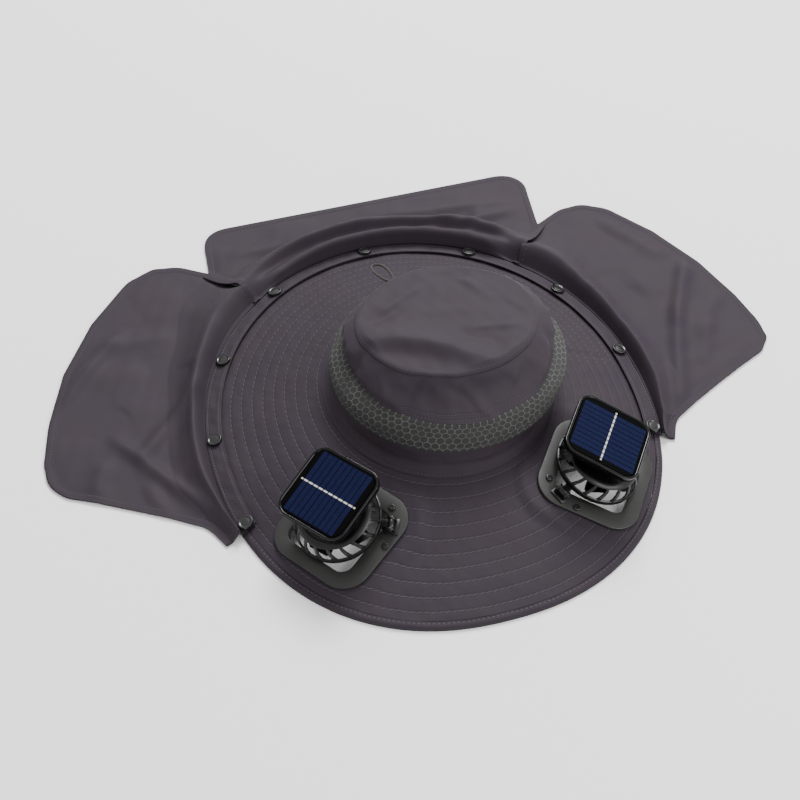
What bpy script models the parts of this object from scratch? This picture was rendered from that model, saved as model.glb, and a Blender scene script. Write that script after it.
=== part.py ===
"""Sun hat with two solar fans in its brim and a three-lobed cape laid out around it.

Metres, +Z up. The hat lies on its brim. The origin is on the floor under the middle of
the laid-out hat, and the front of the brim faces -Y. Left is -X and right is +X.
"""

import math

import bmesh
import bpy
from mathutils import Matrix, Vector

# General clearances
GAP = 0.0003
PLATE_GAP = 0.0005

# Brim: a shallow cone between the crown's seam and an elliptic edge
BRIM_CENTRE_X = 0.0015
BRIM_CENTRE_Y = -0.034
BRIM_HALF_WIDTH = 0.181
BRIM_HALF_LENGTH = 0.203
BRIM_THICKNESS = 0.003
BRIM_RISE = 0.030
BRIM_DISH = 1.1
BRIM_FRONT_SQUARENESS = 2.25
BRIM_SEGMENTS = 48
BRIM_SPANS = 6
BINDING_WIDTH = 0.0055
BINDING_FLAT = 0.0030
BINDING_THICKNESS = 0.0036

# Crown: elliptic sections that lean to the right and lie back as they rise
CROWN_SEAM_X = 0.009
CROWN_SEAM_Y = -0.028
CROWN_HALF_WIDTH = 0.092
CROWN_HALF_LENGTH = 0.098
CROWN_HEIGHT = 0.064
CROWN_LEAN = 0.010
CROWN_SET_BACK = 0.0085
CROWN_BACK_DROP = 0.009
CROWN_WALL = 0.0018
CROWN_SEGMENTS = 40
BRIM_UNDER_FOOT = 0.005
TOP_ROLL_HEIGHT = 0.007
TOP_SAG = 0.003

# A row per section: rise, half width, half length, lean and set-back, each as a share
# of the crown size of that name
BASE_SECTIONS = [
    (0.000, 1.010, 1.010, 0.00, 0.00),
    (0.060, 0.955, 0.955, 0.15, 0.00),
    (0.170, 0.960, 0.940, 0.40, 0.05),
    (0.300, 1.012, 0.935, 0.80, 0.10),
]
MESH_SECTIONS = [
    (0.305, 1.012, 0.935, 0.80, 0.10),
    (0.480, 1.018, 0.918, 1.00, 0.05),
    (0.667, 0.880, 0.878, 0.95, 0.00),
]
UPPER_SECTIONS = [
    (0.672, 0.876, 0.874, 0.95, 0.00),
    (0.790, 0.900, 0.800, 1.00, 0.40),
    (0.900, 0.885, 0.722, 1.00, 0.75),
    (1.000, 0.793, 0.663, 1.00, 1.00),
]
# A row per dent in the upper band: direction in degrees, width in degrees, height and
# spread as shares of the crown's height, and depth in metres
DENTS = [
    (250.0, 16.0, 0.84, 0.14, 0.0050),
    (283.0, 14.0, 0.74, 0.10, 0.0040),
    (205.0, 18.0, 0.88, 0.12, 0.0040),
    (60.0, 20.0, 0.86, 0.14, 0.0045),
    (120.0, 18.0, 0.84, 0.14, 0.0040),
]
# A row per ring of the top panel: share of the way out from the middle
TOP_RINGS = [1.0, 0.90, 0.76, 0.48]

# Cape: a band on the brim's edge and three lobes that roll over it and lie on the floor
CLOTH = 0.0015
BAND_WIDTH = 0.0135
BAND_OVERHANG = 0.0008
BAND_END_ANGLE = 114.0
BAND_SEGMENTS = 44
BAND_CLEARANCE = 0.0009
CAPE_LEFT_SPLIT_ANGLE = 33.0
CAPE_RIGHT_SPLIT_ANGLE = 41.0
CAPE_SIDE_REACH = 0.309
CAPE_BACK_DEPTH = 0.237
CAPE_BACK_LEFT = 0.137
CAPE_BACK_RIGHT = 0.176
CAPE_BACK_CORNER = 0.022
CAPE_SPLIT_GAP = 0.0012
CAPE_FLOOR_LIFT = 0.0001
SIDE_COLUMNS = 15
BACK_COLUMNS = 17
FLAT_ROWS = 4
SIDE_FOLD_HEIGHT = 0.016
SIDE_FOLD_SPREAD = 0.032
BACK_FOLD_HEIGHT = 0.020
BACK_FOLD_SPREAD = 0.040
CREASE_HEIGHT = 0.003

# A row per point of a side lobe's hem, from its back edge to its front end: share of
# the sweep and reach as a share of the side reach
SIDE_HEM = [
    (0.00, 0.83),
    (0.03, 0.92),
    (0.07, 0.975),
    (0.13, 1.00),
    (0.26, 1.00),
    (0.40, 1.00),
    (0.53, 1.00),
    (0.62, 1.003),
    (0.67, 0.995),
    (0.705, 0.96),
    (0.74, 0.88),
    (0.79, 0.795),
    (0.85, 0.72),
    (0.92, 0.66),
    (1.00, 0.62),
]
# A row per line of a fold's section: way out as a share of the fold's spread, and
# height as a share of the fold's height, the first line being level with the band
SIDE_FOLD = [
    (0.00, 0.00),
    (0.12, 0.86),
    (0.32, 1.00),
    (0.56, 0.66),
    (0.80, 0.20),
    (1.00, 0.00),
]
BACK_FOLD = [
    (0.00, 0.00),
    (0.08, 0.80),
    (0.22, 0.92),
    (0.38, 0.62),
    (0.58, 1.00),
    (0.80, 0.58),
    (1.00, 0.00),
]
# A row per station along a lobe: share of the way along, height and spread factors
SIDE_FOLD_COURSE = [
    (0.00, 1.10, 1.90),
    (0.12, 1.10, 1.90),
    (0.30, 1.05, 1.30),
    (0.50, 0.95, 1.00),
    (0.75, 0.85, 1.00),
    (0.92, 0.70, 0.60),
    (1.00, 0.62, 0.30),
]
BACK_FOLD_COURSE = [
    (0.00, 0.80, 1.00),
    (0.12, 0.80, 1.00),
    (0.35, 1.00, 0.90),
    (0.60, 1.00, 0.95),
    (0.88, 0.95, 1.10),
    (1.00, 0.95, 1.10),
]

# Press studs on the cape's band
SNAP_COUNT = 9
SNAP_STEP_ANGLE = 28.1
SNAP_RADIUS = 0.006
SNAP_HEIGHT = 0.0022
SNAP_SIDES = 10

# Elastic loop at the crown's back
LOOP_DIAMETER = 0.002
LOOP_POINTS = 17
LOOP_WIDTH = 0.0115
LOOP_LENGTH = 0.026
LOOP_DIRECTION = 108.0
LOOP_RISE_SHARE = 0.80
LOOP_DROOP = 0.003

# Fan seats: rounded plates let into the brim
FAN_LEFT_X = 0.0990
FAN_LEFT_Y = -0.1310
FAN_RIGHT_X = 0.1025
FAN_RIGHT_Y = -0.1382
FRAME_CORNER_X = 0.0295
FRAME_CORNER_Y = 0.0285
FRAME_TURN = 11.0
FRAME_FORWARD = 0.0035
FRAME_CORNER_RADIUS = 0.0215
FRAME_RIM_WIDTH = 0.0130
FRAME_SHIFT = 0.0018
FRAME_THICKNESS = 0.0025
FRAME_EDGE = 0.0010
COLLAR_WALL = 0.0015
COLLAR_DEPTH = 0.0040
SEAT_FLAT_MARGIN = 0.007
SEAT_BLEND = 0.012
FRAME_ARC_STEPS = 7
RIVET_RADIUS = 0.0028
RIVET_HEIGHT = 0.0013
RIVET_SPREAD = 0.0155
RIVET_INSET = 0.0025

# Hinge at the inner front side of each seat
HINGE_ANGLE = 27.6
HINGE_OFFSET = 0.0405
PIVOT_HEIGHT = 0.0080
PIN_RADIUS = 0.0013
KNUCKLE_RADIUS = 0.0030
KNUCKLE_WIDTH = 0.0060
EAR_WALL = 0.0020
EAR_RADIUS = 0.0034
BRACKET_BASE = 0.0012
FAN_LEAN = 4.5
FAN_LIFT = 0.0012

# Fan cage, motor and rotor
CAGE_RADIUS = 0.034
CAGE_HEIGHT = 0.0155
CAGE_WALL = 0.0018
CAGE_RIBS = 18
RIB_WIDTH = 0.003
RIB_TWIST = 6.0
# A row per ring of the cage: radius and height as shares of the cage's
CAGE_RINGS = [
    (1.00, 0.00),
    (1.00, 0.24),
    (0.95, 0.60),
    (0.82, 0.90),
    (0.71, 1.00),
]
MOTOR_RADIUS = 0.0085
MOTOR_HEIGHT = 0.0040
ROTOR_RADIUS = 0.0290
HUB_RADIUS = 0.0080
HUB_HEIGHT = 0.0060
ROTOR_CLEARANCE = 0.0004
BLADES = 5
BLADE_THICKNESS = 0.0013
# A row per section of a blade: radius and chord as shares of the rotor's radius, and
# the blade's pitch in degrees
BLADE_SECTIONS = [
    (0.40, 0.26, 48.0),
    (0.72, 0.46, 36.0),
    (1.00, 0.40, 28.0),
]

# Solar panel on top of the cage
PANEL_SIDE = 0.061
PANEL_CORNER = 0.0115
PANEL_THICKNESS = 0.0050
PANEL_RIM = 0.0016
PANEL_RECESS = 0.0010
PANEL_CHAMFER = 0.0008
PANEL_TURN = 26.0
PANEL_SET_BACK = 0.0065
PANEL_INWARD = 0.0035
POST_HEIGHT = 0.013
POST_RADIUS = 0.015
POST_SIDES = 14
# A row per section of the post: rise, set-back and radius as shares of the post's
POST_SECTIONS = [
    (0.00, 0.0, 1.00),
    (0.55, 0.5, 0.72),
    (1.00, 1.0, 1.10),
]
CELL_SIDE = 0.0500
CELL_THICKNESS = 0.0006

FINISHES = {
    "nylon": ((0.098, 0.080, 0.095), 0.80, 0.0),
    "mesh": ((0.110, 0.115, 0.105), 0.75, 0.0),
    "snap_black": ((0.015, 0.015, 0.016), 0.35, 0.0),
    "elastic": ((0.040, 0.042, 0.036), 0.80, 0.0),
    "abs_grey": ((0.035, 0.036, 0.036), 0.50, 0.0),
    "abs_black": ((0.012, 0.012, 0.012), 0.40, 0.0),
    "gloss_black": ((0.006, 0.006, 0.007), 0.08, 0.0),
    "cell_blue": ((0.012, 0.016, 0.060), 0.15, 0.0),
}


def finish(name):
    """Return the Principled BSDF material of that name, making it once."""
    found = bpy.data.materials.get(name)
    if found:
        return found
    colour, roughness, metallic = FINISHES[name]
    material = bpy.data.materials.new(name)
    material.use_nodes = True
    shader = material.node_tree.nodes["Principled BSDF"]
    shader.inputs["Base Color"].default_value = (*colour, 1.0)
    shader.inputs["Roughness"].default_value = roughness
    shader.inputs["Metallic"].default_value = metallic
    return material


def add_object(name, mesh_builder, finish_name, parent=None, smooth=False):
    """Turn a bmesh into a named object with its finish, under a parent if given."""
    mesh = bpy.data.meshes.new(name)
    bmesh.ops.recalc_face_normals(mesh_builder, faces=mesh_builder.faces)
    mesh_builder.to_mesh(mesh)
    mesh_builder.free()
    if smooth:
        mesh.shade_smooth()
        mesh.set_sharp_from_angle(angle=math.radians(40.0))
    mesh.materials.append(finish(finish_name))
    piece = bpy.data.objects.new(name, mesh)
    bpy.context.collection.objects.link(piece)
    if parent:
        piece.parent = parent
    return piece


def add_empty(name, matrix, parent=None):
    """Add an empty at a local matrix, under a parent if given."""
    empty = bpy.data.objects.new(name, None)
    bpy.context.collection.objects.link(empty)
    empty.parent = parent
    empty.matrix_local = matrix
    return empty


def as_tool(piece):
    """Mark an object as a modelling tool, so that it isn't part of the hat."""
    piece.hide_render = True
    piece.display_type = "WIRE"
    return piece


def add_boolean(piece, tool, operation):
    """Cut or join a tool into a piece with a live Boolean."""
    modifier = piece.modifiers.new(operation.lower(), "BOOLEAN")
    modifier.operation = operation
    modifier.object = tool


def smooth_step(value):
    """Ease a value from 0 to 1."""
    value = min(max(value, 0.0), 1.0)
    return value * value * (3.0 - 2.0 * value)


def interpolate(rows, along):
    """Read the columns of a table of rows (share, values...) at a share."""
    if along <= rows[0][0]:
        return rows[0][1:]
    for low, high in zip(rows, rows[1:]):
        if along <= high[0]:
            mix = smooth_step((along - low[0]) / (high[0] - low[0]))
            return tuple(a + (b - a) * mix for a, b in zip(low[1:], high[1:]))
    return rows[-1][1:]


def shell_between(upper_rows, lower_rows, closed, pole=False):
    """Build a closed solid between two grids of points with the same layout.

    closed joins each row's end to its start. pole ends both grids in their middle.
    """
    builder = bmesh.new()
    upper = [[builder.verts.new(point) for point in row] for row in upper_rows]
    lower = [[builder.verts.new(point) for point in row] for row in lower_rows]
    count = len(upper[0])
    spans = count if closed else count - 1
    for grid in (upper, lower):
        for row, following in zip(grid, grid[1:]):
            for index in range(spans):
                after = (index + 1) % count
                builder.faces.new((row[index], row[after], following[after], following[index]))
    edges = [(upper[0], lower[0])]
    if pole:
        builder.faces.new(upper[-1])
        builder.faces.new(lower[-1])
    else:
        edges.append((upper[-1], lower[-1]))
    if not closed:
        for end in (0, -1):
            edges.append(([row[end] for row in upper], [row[end] for row in lower]))
    for high, low in edges:
        steps = len(high) if closed else len(high) - 1
        for index in range(steps):
            after = (index + 1) % len(high)
            builder.faces.new((high[index], high[after], low[after], low[index]))
    return builder


def prism(outline, low, high):
    """Build a prism from a flat outline between two heights."""
    return shell_between(
        [[Vector((x, y, high)) for x, y in outline]],
        [[Vector((x, y, low)) for x, y in outline]],
        closed=True,
        pole=True,
    )


def stacked(outlines):
    """Build a turned-like solid from (outline, height) rows, closed at both ends."""
    builder = bmesh.new()
    rows = []
    for outline, height in outlines:
        rows.append([builder.verts.new((x, y, height)) for x, y in outline])
    count = len(rows[0])
    for row, following in zip(rows, rows[1:]):
        for index in range(count):
            after = (index + 1) % count
            builder.faces.new((row[index], row[after], following[after], following[index]))
    builder.faces.new(rows[0])
    builder.faces.new(rows[-1])
    return builder


def circle(radius, sides, phase=0.0):
    """Return a flat regular outline."""
    turns = [2.0 * math.pi * (index + phase) / sides for index in range(sides)]
    return [(radius * math.cos(turn), radius * math.sin(turn)) for turn in turns]


def box(size_low, size_high):
    """Build a box between two corners."""
    builder = bmesh.new()
    bmesh.ops.create_cube(builder, size=1.0)
    low = Vector(size_low)
    high = Vector(size_high)
    for vertex in builder.verts:
        vertex.co = Vector(
            low[axis] if vertex.co[axis] < 0.0 else high[axis] for axis in range(3)
        )
    return builder


# Brim


def edge_exponent(front, share=1.0):
    """Return the exponent of the brim's outline, which is squarer at the front."""
    return 2.0 + (BRIM_FRONT_SQUARENESS - 2.0) * share if front else 2.0


def edge_outline(turn, inset):
    """Return a plan point of the brim's outline, moved in from the edge."""
    power = 2.0 / edge_exponent(math.sin(turn) < 0.0)
    across = math.copysign(abs(math.cos(turn)) ** power, math.cos(turn))
    along = math.copysign(abs(math.sin(turn)) ** power, math.sin(turn))
    x = BRIM_CENTRE_X + (BRIM_HALF_WIDTH - inset) * across
    return x, BRIM_CENTRE_Y + (BRIM_HALF_LENGTH - inset) * along


def seam_share(x, y):
    """Return how far a point lies from the crown's seam (0) to the brim's edge (1)."""
    low = 0.0
    high = 1.5
    for _ in range(24):
        share = 0.5 * (low + high)
        centre_x = CROWN_SEAM_X + (BRIM_CENTRE_X - CROWN_SEAM_X) * share
        centre_y = CROWN_SEAM_Y + (BRIM_CENTRE_Y - CROWN_SEAM_Y) * share
        half_x = CROWN_HALF_WIDTH + (BRIM_HALF_WIDTH - CROWN_HALF_WIDTH) * share
        half_y = CROWN_HALF_LENGTH + (BRIM_HALF_LENGTH - CROWN_HALF_LENGTH) * share
        power = edge_exponent(y < centre_y, share)
        across = abs((x - centre_x) / half_x) ** power
        along = abs((y - centre_y) / half_y) ** power
        if across + along > 1.0:
            low = share
        else:
            high = share
    return 0.5 * (low + high)


def cone_height(x, y):
    """Return the height of the plain brim's upper side."""
    share = min(seam_share(x, y), 1.0)
    return BRIM_THICKNESS + BRIM_RISE * (1.0 - share) ** BRIM_DISH


SIDES = {-1: "left", 1: "right"}
FAN_PLACES = {-1: (-FAN_LEFT_X, FAN_LEFT_Y), 1: (FAN_RIGHT_X, FAN_RIGHT_Y)}


def seat_plane(side):
    """Return the height and the two slopes of the flat that a fan's frame lies on."""
    step = 0.5 * FRAME_CORNER_RADIUS
    x, y = FAN_PLACES[side]
    slope_x = (cone_height(x + step, y) - cone_height(x - step, y)) / (2.0 * step)
    slope_y = (cone_height(x, y + step) - cone_height(x, y - step)) / (2.0 * step)
    return cone_height(x, y), slope_x, slope_y


SEAT_PLANES = {side: seat_plane(side) for side in SIDES}


def rhombus_distance(u, v):
    """Return how far a plan point lies outside the frame's inner rhombus."""
    u = abs(u)
    v = abs(v)
    side = Vector((-FRAME_CORNER_X, FRAME_CORNER_Y))
    start = Vector((FRAME_CORNER_X, 0.0))
    offset = Vector((u, v)) - start
    along = min(max(offset.dot(side) / side.length_squared, 0.0), 1.0)
    nearest = start + side * along
    inside = u / FRAME_CORNER_X + v / FRAME_CORNER_Y < 1.0
    distance = (Vector((u, v)) - nearest).length
    return -distance if inside else distance


def brim_height(x, y):
    """Return the height of the brim's upper side, flat where a frame lies on it."""
    height = cone_height(x, y)
    side = 1 if x > 0.0 else -1
    seat_x, seat_y = FAN_PLACES[side]
    offset = Vector((x - seat_x, y - seat_y + FRAME_FORWARD))
    place = Matrix.Rotation(-side * math.radians(FRAME_TURN), 2) @ offset
    beyond = rhombus_distance(place.x, place.y) - FRAME_CORNER_RADIUS
    weight = 1.0 - smooth_step((beyond - SEAT_FLAT_MARGIN) / SEAT_BLEND)
    if weight <= 0.0:
        return height
    base, slope_x, slope_y = SEAT_PLANES[side]
    plane = base + slope_x * (x - seat_x) + slope_y * (y - seat_y)
    flattened = height + (plane - height) * weight
    return min(max(flattened, BRIM_THICKNESS), BRIM_THICKNESS + BRIM_RISE)


def brim_point(turn, share):
    """Return the plan point at an angle and a share of the way from seam to edge."""
    inner_x = CROWN_SEAM_X + (CROWN_HALF_WIDTH - BRIM_UNDER_FOOT) * math.cos(turn)
    inner_y = CROWN_SEAM_Y + (CROWN_HALF_LENGTH - BRIM_UNDER_FOOT) * math.sin(turn)
    outer_x, outer_y = edge_outline(turn, BINDING_WIDTH + GAP)
    return inner_x + (outer_x - inner_x) * share, inner_y + (outer_y - inner_y) * share


def edge_radius(angle):
    """Return the brim's radius from its centre at an angle measured from the back."""
    power = edge_exponent(math.cos(angle) < 0.0)
    across = abs(math.sin(angle) / BRIM_HALF_WIDTH) ** power
    along = abs(math.cos(angle) / BRIM_HALF_LENGTH) ** power
    return (across + along) ** (-1.0 / power)


def edge_point(angle, beyond):
    """Return the plan point beyond the brim's edge, at an angle from the back."""
    radius = edge_radius(angle) + beyond
    return BRIM_CENTRE_X + radius * math.sin(angle), BRIM_CENTRE_Y + radius * math.cos(angle)


def make_brim():
    """Make the quilted brim and cut it through for the fans' collars."""
    turns = [2.0 * math.pi * index / BRIM_SEGMENTS for index in range(BRIM_SEGMENTS)]
    upper = []
    lower = []
    for span in range(BRIM_SPANS + 1):
        points = [brim_point(turn, span / BRIM_SPANS) for turn in turns]
        upper.append([Vector((x, y, brim_height(x, y))) for x, y in points])
        lower.append([point - Vector((0.0, 0.0, BRIM_THICKNESS)) for point in upper[-1]])
    brim = add_object("brim", shell_between(upper, lower, closed=True), "nylon")
    for side, name in SIDES.items():
        cut_radius = FRAME_CORNER_RADIUS - FRAME_RIM_WIDTH + COLLAR_WALL + PLATE_GAP
        outline = frame_outline(cut_radius, side, FRAME_SHIFT)
        reach = BRIM_RISE
        tool = add_object("collar_cut_" + name, prism(outline, -reach, reach), "nylon")
        tool.matrix_world = seat_matrix(side)
        add_boolean(brim, as_tool(tool), "DIFFERENCE")
        plate = frame_outline(FRAME_CORNER_RADIUS + PLATE_GAP, side, 0.0)
        tool = add_object("plate_cut_" + name, prism(plate, 0.5 * GAP, reach), "nylon")
        tool.matrix_world = seat_matrix(side)
        add_boolean(brim, as_tool(tool), "DIFFERENCE")
    return brim


def make_binding():
    """Make the bound edge round the brim."""
    turns = [2.0 * math.pi * index / BRIM_SEGMENTS for index in range(BRIM_SEGMENTS)]
    upper = []
    lower = []
    for inset, height in ((BINDING_WIDTH, 1.0), (BINDING_FLAT, 1.0), (0.0, 0.6)):
        points = [edge_outline(turn, inset) for turn in turns]
        raised = [max(brim_height(x, y) - BRIM_THICKNESS, 0.0) for x, y in points]
        tops = [rise + height * BINDING_THICKNESS for rise in raised]
        if inset <= BINDING_FLAT:
            raised = [0.0 for _ in points]
        upper.append([Vector((x, y, z)) for (x, y), z in zip(points, tops)])
        lower.append([Vector((x, y, z)) for (x, y), z in zip(points, raised)])
    return add_object("brim_binding", shell_between(upper, lower, closed=True), "nylon")


# Crown


def crown_point(section, turn, inset):
    """Return a point of a crown section, dented where the cloth is."""
    rise, width, length, lean, set_back = section
    dent = 0.0
    for direction, spread, level, depth_spread, depth in DENTS:
        away = (math.degrees(turn) - direction + 180.0) % 360.0 - 180.0
        around = math.exp(-((away / spread) ** 2))
        dent += depth * around * math.exp(-(((rise - level) / depth_spread) ** 2))
    half_x = width * CROWN_HALF_WIDTH - inset - dent
    half_y = length * CROWN_HALF_LENGTH - inset - dent
    base = BRIM_THICKNESS + BRIM_RISE + GAP
    return Vector(
        (
            CROWN_SEAM_X + lean * CROWN_LEAN + half_x * math.cos(turn),
            CROWN_SEAM_Y + set_back * CROWN_SET_BACK + half_y * math.sin(turn),
            base + rise * CROWN_HEIGHT - back_drop(rise, turn),
        )
    )


def back_drop(rise, turn):
    """Return how far a crown section sinks towards its back."""
    return CROWN_BACK_DROP * rise * rise * 0.5 * (1.0 + math.sin(turn))


def crown_turns():
    """Return the angles of the crown's columns."""
    return [2.0 * math.pi * index / CROWN_SEGMENTS for index in range(CROWN_SEGMENTS)]


def make_crown_band(name, sections, finish_name):
    """Make one band of the crown's wall from its sections."""
    outer = [[crown_point(row, turn, 0.0) for turn in crown_turns()] for row in sections]
    inner = [[crown_point(row, turn, CROWN_WALL) for turn in crown_turns()] for row in sections]
    return add_object(name, shell_between(outer, inner, closed=True), finish_name, smooth=True)


def make_crown_top():
    """Make the top panel, rolled up along its front and slightly sagged."""
    rim = UPPER_SECTIONS[-1]
    middle = Vector(
        (
            CROWN_SEAM_X + CROWN_LEAN,
            CROWN_SEAM_Y + CROWN_SET_BACK,
            BRIM_THICKNESS + BRIM_RISE + CROWN_HEIGHT + 2.0 * GAP + CROWN_WALL,
        )
    )
    upper = []
    for share in TOP_RINGS:
        row = []
        for turn in crown_turns():
            edge = crown_point(rim, turn, 0.0)
            front = max(0.0, -math.sin(turn))
            roll = TOP_ROLL_HEIGHT * front * math.exp(-(((share - 0.80) / 0.14) ** 2))
            sag = TOP_SAG * (1.0 - share)
            held = smooth_step((1.0 - share) / 0.1)
            point = Vector((middle.x, middle.y, 0.0)).lerp(Vector((edge.x, edge.y, 0.0)), share)
            point.z = middle.z + held * (roll - sag) - back_drop(1.0, turn) * share
            row.append(point)
        upper.append(row)
    lower = [[point - Vector((0.0, 0.0, CROWN_WALL)) for point in row] for row in upper]
    builder = shell_between(upper, lower, closed=True, pole=True)
    return add_object("crown_top", builder, "nylon", smooth=True)


def make_crown_loop():
    """Make the small elastic loop that stands out at the crown's back."""
    turn = math.radians(LOOP_DIRECTION)
    section = (LOOP_RISE_SHARE,) + UPPER_SECTIONS[1][1:]
    root = crown_point(section, turn, 0.0)
    outward = Vector((math.cos(turn), math.sin(turn), 0.0))
    across = Vector((-outward.y, outward.x, 0.0))
    start = root + outward * (0.5 * LOOP_DIAMETER + 2.0 * GAP)
    curve = bpy.data.curves.new("crown_loop", "CURVE")
    curve.dimensions = "3D"
    curve.bevel_depth = 0.5 * LOOP_DIAMETER
    curve.bevel_resolution = 2
    curve.use_fill_caps = True
    spline = curve.splines.new("POLY")
    spline.points.add(LOOP_POINTS - 1)
    for index, point in enumerate(spline.points):
        share = index / (LOOP_POINTS - 1)
        swing = math.pi * (2.0 * share - 1.0)
        reach = 0.5 * (1.0 + math.cos(swing))
        sideways = 0.5 * LOOP_WIDTH * math.sin(swing) * (0.55 + 0.45 * reach)
        foot = 0.16 * LOOP_WIDTH * (2.0 * share - 1.0)
        place = start + outward * (LOOP_LENGTH * reach) + across * (sideways + foot)
        place.z -= LOOP_DROOP * reach * reach
        point.co = (*place, 1.0)
    curve.materials.append(finish("elastic"))
    loop = bpy.data.objects.new("crown_loop", curve)
    bpy.context.collection.objects.link(loop)
    return loop


# Cape


def band_height(x, y):
    """Return the underside of the cape's band on the bound edge."""
    return brim_height(x, y) + BINDING_THICKNESS - BRIM_THICKNESS + BAND_CLEARANCE


def make_cape_band():
    """Make the strip on the brim's edge that the lobes are sewn to."""
    end = math.radians(BAND_END_ANGLE)
    upper = []
    lower = []
    for share in (0.0, 0.5, 1.0):
        beyond = BAND_OVERHANG - BAND_WIDTH * share
        row = []
        for index in range(BAND_SEGMENTS + 1):
            angle = -end + 2.0 * end * index / BAND_SEGMENTS
            x, y = edge_point(angle, beyond)
            row.append(Vector((x, y, band_height(x, y))))
        lower.append(row)
        upper.append([point + Vector((0.0, 0.0, CLOTH)) for point in row])
    return add_object("cape_band", shell_between(upper, lower, closed=False), "nylon")


def resample(points, count):
    """Spread a number of points evenly along a polyline."""
    lengths = [0.0]
    for start, end in zip(points, points[1:]):
        lengths.append(lengths[-1] + (Vector(end) - Vector(start)).length)
    spread = []
    for index in range(count):
        target = lengths[-1] * index / (count - 1)
        place = 0
        while place < len(points) - 2 and lengths[place + 1] < target:
            place += 1
        span = lengths[place + 1] - lengths[place]
        mix = (target - lengths[place]) / span
        spread.append(Vector(points[place]).lerp(Vector(points[place + 1]), mix))
    return spread


def side_hem(side):
    """Return the hem of a side lobe from its back edge to its front end."""
    split = CAPE_LEFT_SPLIT_ANGLE if side < 0 else CAPE_RIGHT_SPLIT_ANGLE
    points = []
    for share, reach in SIDE_HEM:
        angle = math.radians(split + (BAND_END_ANGLE - split) * share)
        radius = max(reach * CAPE_SIDE_REACH, edge_radius(angle) + BAND_WIDTH)
        points.append((side * radius * math.sin(angle), BRIM_CENTRE_Y + radius * math.cos(angle)))
    return points


def back_hem():
    """Return the hem of the back lobe from left to right, with rounded corners."""
    points = []
    left = math.radians(-CAPE_LEFT_SPLIT_ANGLE)
    right = math.radians(CAPE_RIGHT_SPLIT_ANGLE)
    reach = SIDE_HEM[0][1] * CAPE_SIDE_REACH
    start_y = BRIM_CENTRE_Y + reach * math.cos(left)
    end_y = BRIM_CENTRE_Y + reach * math.cos(right)
    points.append((reach * math.sin(left), start_y))
    corner = CAPE_BACK_CORNER
    left_corner = (corner - CAPE_BACK_LEFT, 180.0, 90.0)
    right_corner = (CAPE_BACK_RIGHT - corner, 90.0, 0.0)
    for centre_x, first, last in (left_corner, right_corner):
        for step in range(5):
            turn = math.radians(first + (last - first) * step / 4.0)
            x = centre_x + corner * math.cos(turn)
            y = CAPE_BACK_DEPTH - corner + corner * math.sin(turn)
            points.append((x, y))
    points.append((reach * math.sin(right), end_y))
    return points


def cape_lobe(name, start_angle, end_angle, hem, columns, fold, course, fold_height, fold_spread):
    """Make a lobe: a rolled fold beside the brim's edge, then cloth laid on the floor."""
    hem_points = resample(hem, columns)
    start_height = BINDING_THICKNESS + BAND_CLEARANCE + CLOTH
    rows = [[] for _ in range(len(fold) + FLAT_ROWS)]
    for index, outer in enumerate(hem_points):
        along = index / (columns - 1)
        held = min(max(along, 1.0 / (columns - 1)), 1.0 - 1.0 / (columns - 1))
        height_factor, spread_factor = interpolate(course, held)
        angle = start_angle + (end_angle - start_angle) * along
        inner = Vector(edge_point(angle, BAND_OVERHANG + 2.0 * GAP))
        width = (outer - inner).length
        spread = min(fold_spread * spread_factor, 0.7 * width)
        height = fold_height * height_factor
        lift = CLOTH + CAPE_FLOOR_LIFT
        for level, (out, up) in enumerate(fold):
            place = inner.lerp(outer, out * spread / width)
            z = start_height if level == 0 else lift + up * height
            rows[level].append(Vector((place.x, place.y, z)))
        for level in range(FLAT_ROWS):
            share = (level + 1) / FLAT_ROWS
            way = (spread + (width - spread) * share) / width
            place = inner.lerp(outer, way)
            wave = math.sin(2.6 * math.pi * (held + 0.35 * share)) ** 2
            crease = CREASE_HEIGHT * wave * math.sin(math.pi * share) if share < 1.0 else 0.0
            rows[len(fold) + level].append(Vector((place.x, place.y, lift + crease)))
    builder = bmesh.new()
    grid = [[builder.verts.new(point) for point in row] for row in rows]
    for row, following in zip(grid, grid[1:]):
        for index in range(columns - 1):
            builder.faces.new((row[index], following[index], following[index + 1], row[index + 1]))
    lobe = add_object(name, builder, "nylon", smooth=True)
    if lobe.data.polygons[len(lobe.data.polygons) - 1].normal.z < 0.0:
        lobe.data.flip_normals()
    wall = lobe.modifiers.new("cloth", "SOLIDIFY")
    wall.thickness = CLOTH
    wall.offset = -1.0
    return lobe


def make_cape():
    """Make the cape's band and its three lobes."""
    make_cape_band()
    left = math.radians(CAPE_LEFT_SPLIT_ANGLE)
    right = math.radians(CAPE_RIGHT_SPLIT_ANGLE)
    end = math.radians(BAND_END_ANGLE)
    for side, split in ((-1, left), (1, right)):
        margin = CAPE_SPLIT_GAP / edge_radius(split)
        side_fold = (SIDE_FOLD, SIDE_FOLD_COURSE, SIDE_FOLD_HEIGHT, SIDE_FOLD_SPREAD)
        name = "cape_" + SIDES[side]
        start = side * (split + margin)
        cape_lobe(name, start, side * end, side_hem(side), SIDE_COLUMNS, *side_fold)
    margin = CAPE_SPLIT_GAP / edge_radius(left)
    hem = back_hem()
    back_fold = (BACK_FOLD, BACK_FOLD_COURSE, BACK_FOLD_HEIGHT, BACK_FOLD_SPREAD)
    cape_lobe("cape_back", margin - left, right - margin, hem, BACK_COLUMNS, *back_fold)


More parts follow.
